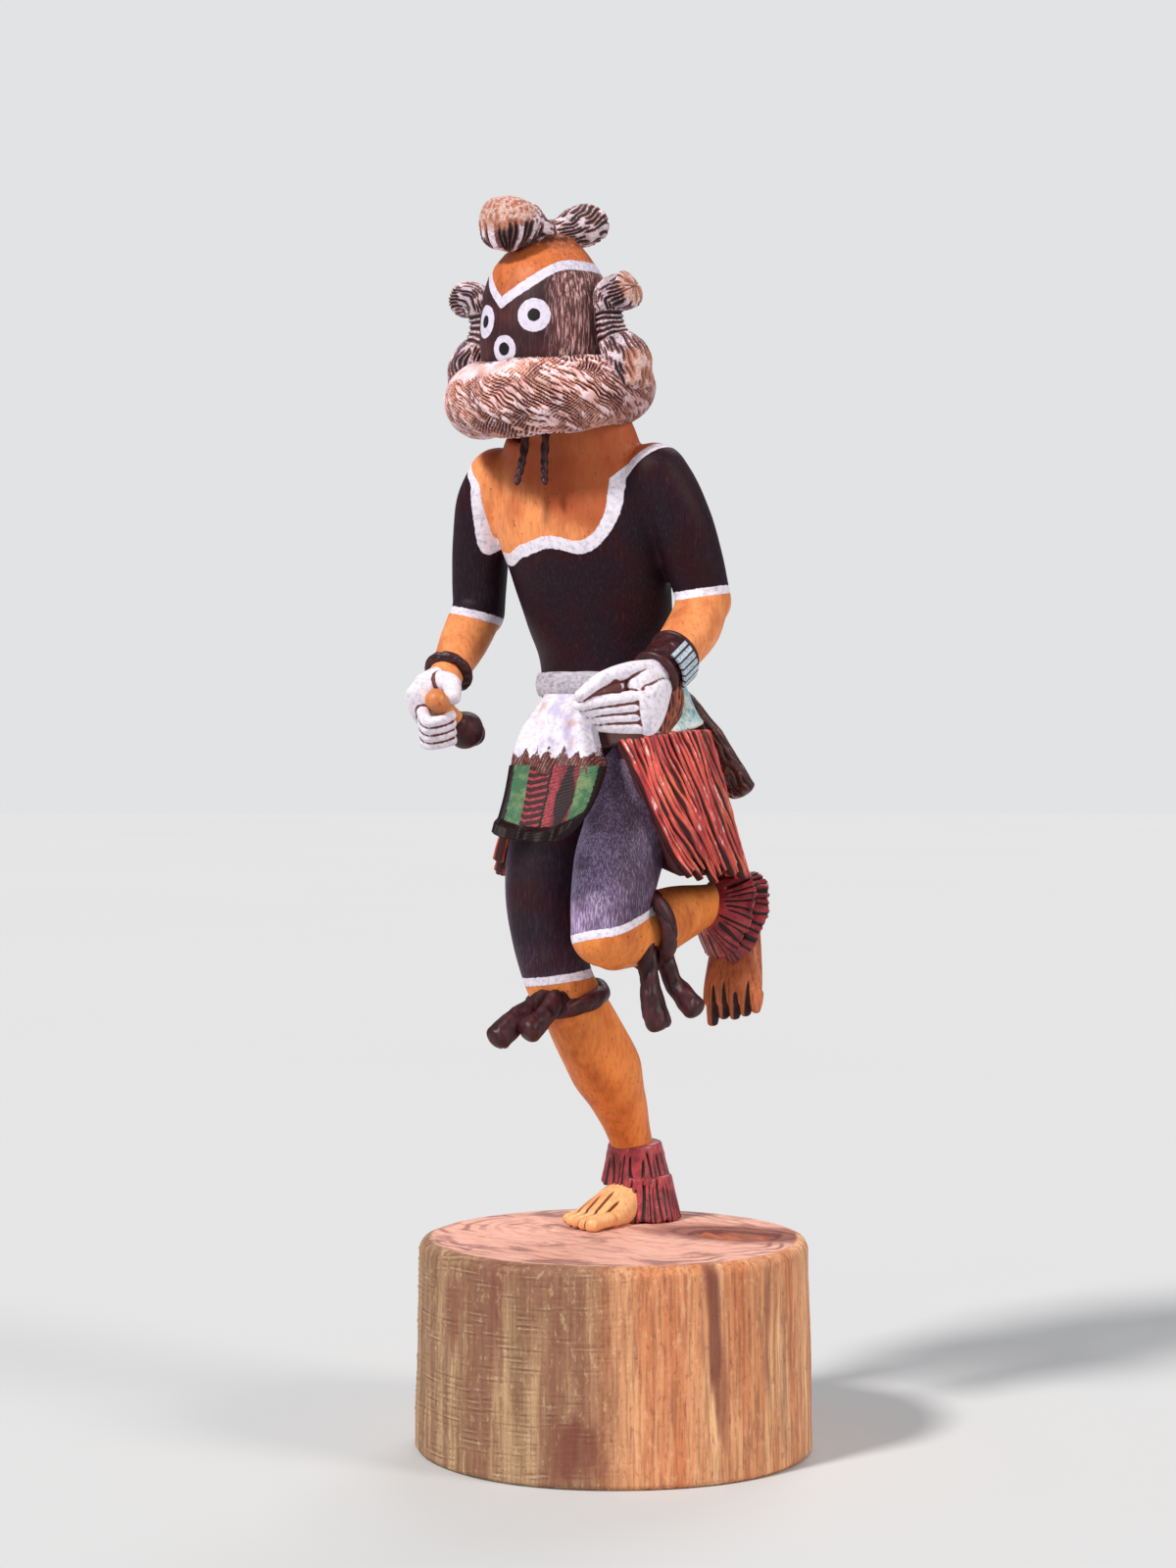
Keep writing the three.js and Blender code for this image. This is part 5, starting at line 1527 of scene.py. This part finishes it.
def guard_place(u, v, out):
    """The plate, bent over the outer side of the wrist."""
    turn = np.radians(-98 + 136 * v)
    middle = GUARD_AT - np.outer(1.4 + 4.6 * u, GUARD_AXIS)
    reach = GUARD_RADIUS + 0.75 * out
    return middle + np.outer(-np.cos(turn) * reach, GUARD_ACROSS) + np.outer(np.sin(turn) * reach, GUARD_UP)


bm = bmesh.new()
slab(bm, 30, 84, guard_place)
guard = named("bow_guard_plate", bm)
off = spots(guard.data) - GUARD_AT
lines = np.arctan2(off @ GUARD_UP, -(off @ GUARD_ACROSS)) * GUARD_RADIUS / GUARD_LINES
near = np.abs(lines - np.round(lines))
note(guard, "lines", np.exp(-(near / 0.17) ** 2))
set_on_log(guard, surface("silver_paint", guard_look, Metallic=0.25))


def tongue_look(shade):
    where = shade.place()
    fine = where.scaled(1, 1, 0.4).blotches(0.8, 4, 0.6)
    relief = shade.attribute("relief")
    colour = shade.mix(fine.rise(0.35, 0.7), tint(178, 92, 58), tint(112, 46, 34))
    # Painted shade: dark in the cuts.
    colour = shade.mix(relief.rise(-0.06, -0.2), colour, tint(56, 16, 16))
    return colour, 0.38 + 0.2 * fine, 0.10 * fine


def tongue_cuts(turn, along, place):
    return -0.4 * strokes(5 * np.cos(turn) + 2 * along, place, 6, 0.22)


bm = bmesh.new()
limb(bm, [(21.6, -9.6, 107.4, 2.4, 1.2), (21.4, -9.6, 102.8, 2.9, 1.2), (20.6, -10, 98.2, 1.2, 0.9)], 50, 60,
     across=turned(40), relief=tongue_cuts)
tongue = named("bow_guard_tongue", bm)
set_on_log(tongue, surface("leather_tongue", tongue_look, Coat_Weight=0.2, Coat_Roughness=0.3))

bm = bmesh.new()
band(bm, (-24.8, -20.4, 109.4), 3.7, 3.7, 1.2, 1.1, (0.25, -0.75, -0.6), sides=28, steps=90,
     relief=lambda turn, section, place: -0.25 * slope(wave(place, 1.2, 3), 0.0, 0.4))
right_band = named("right_wrist_band", bm)
set_on_log(right_band, tie_paint)


def handle_look(shade):
    where = shade.place()
    return skin_paint(shade, where, tint(232, 150, 84), tint(170, 82, 40))


bm = bmesh.new()
limb(bm, [(-17.3, -32.2, 104.2, 2.1), (-18.7, -27.5, 101.8, 1.8), (-20, -21.5, 98.8, 1.8)], 32, 32)
handle = named("rattle_handle", bm)
set_on_log(handle, surface("bare_handle", handle_look))

bm = bmesh.new()
limb(bm, [(-19.4, -24.2, 99.6, 2.4), (-20.2, -20.6, 98.2, 3.6), (-20.8, -17.6, 97.4, 2.4)], 60, 48,
     relief=lambda turn, along, place: 0.12 * wave(place, 2))
gourd = named("rattle_gourd", bm)
set_on_log(gourd, tie_paint)
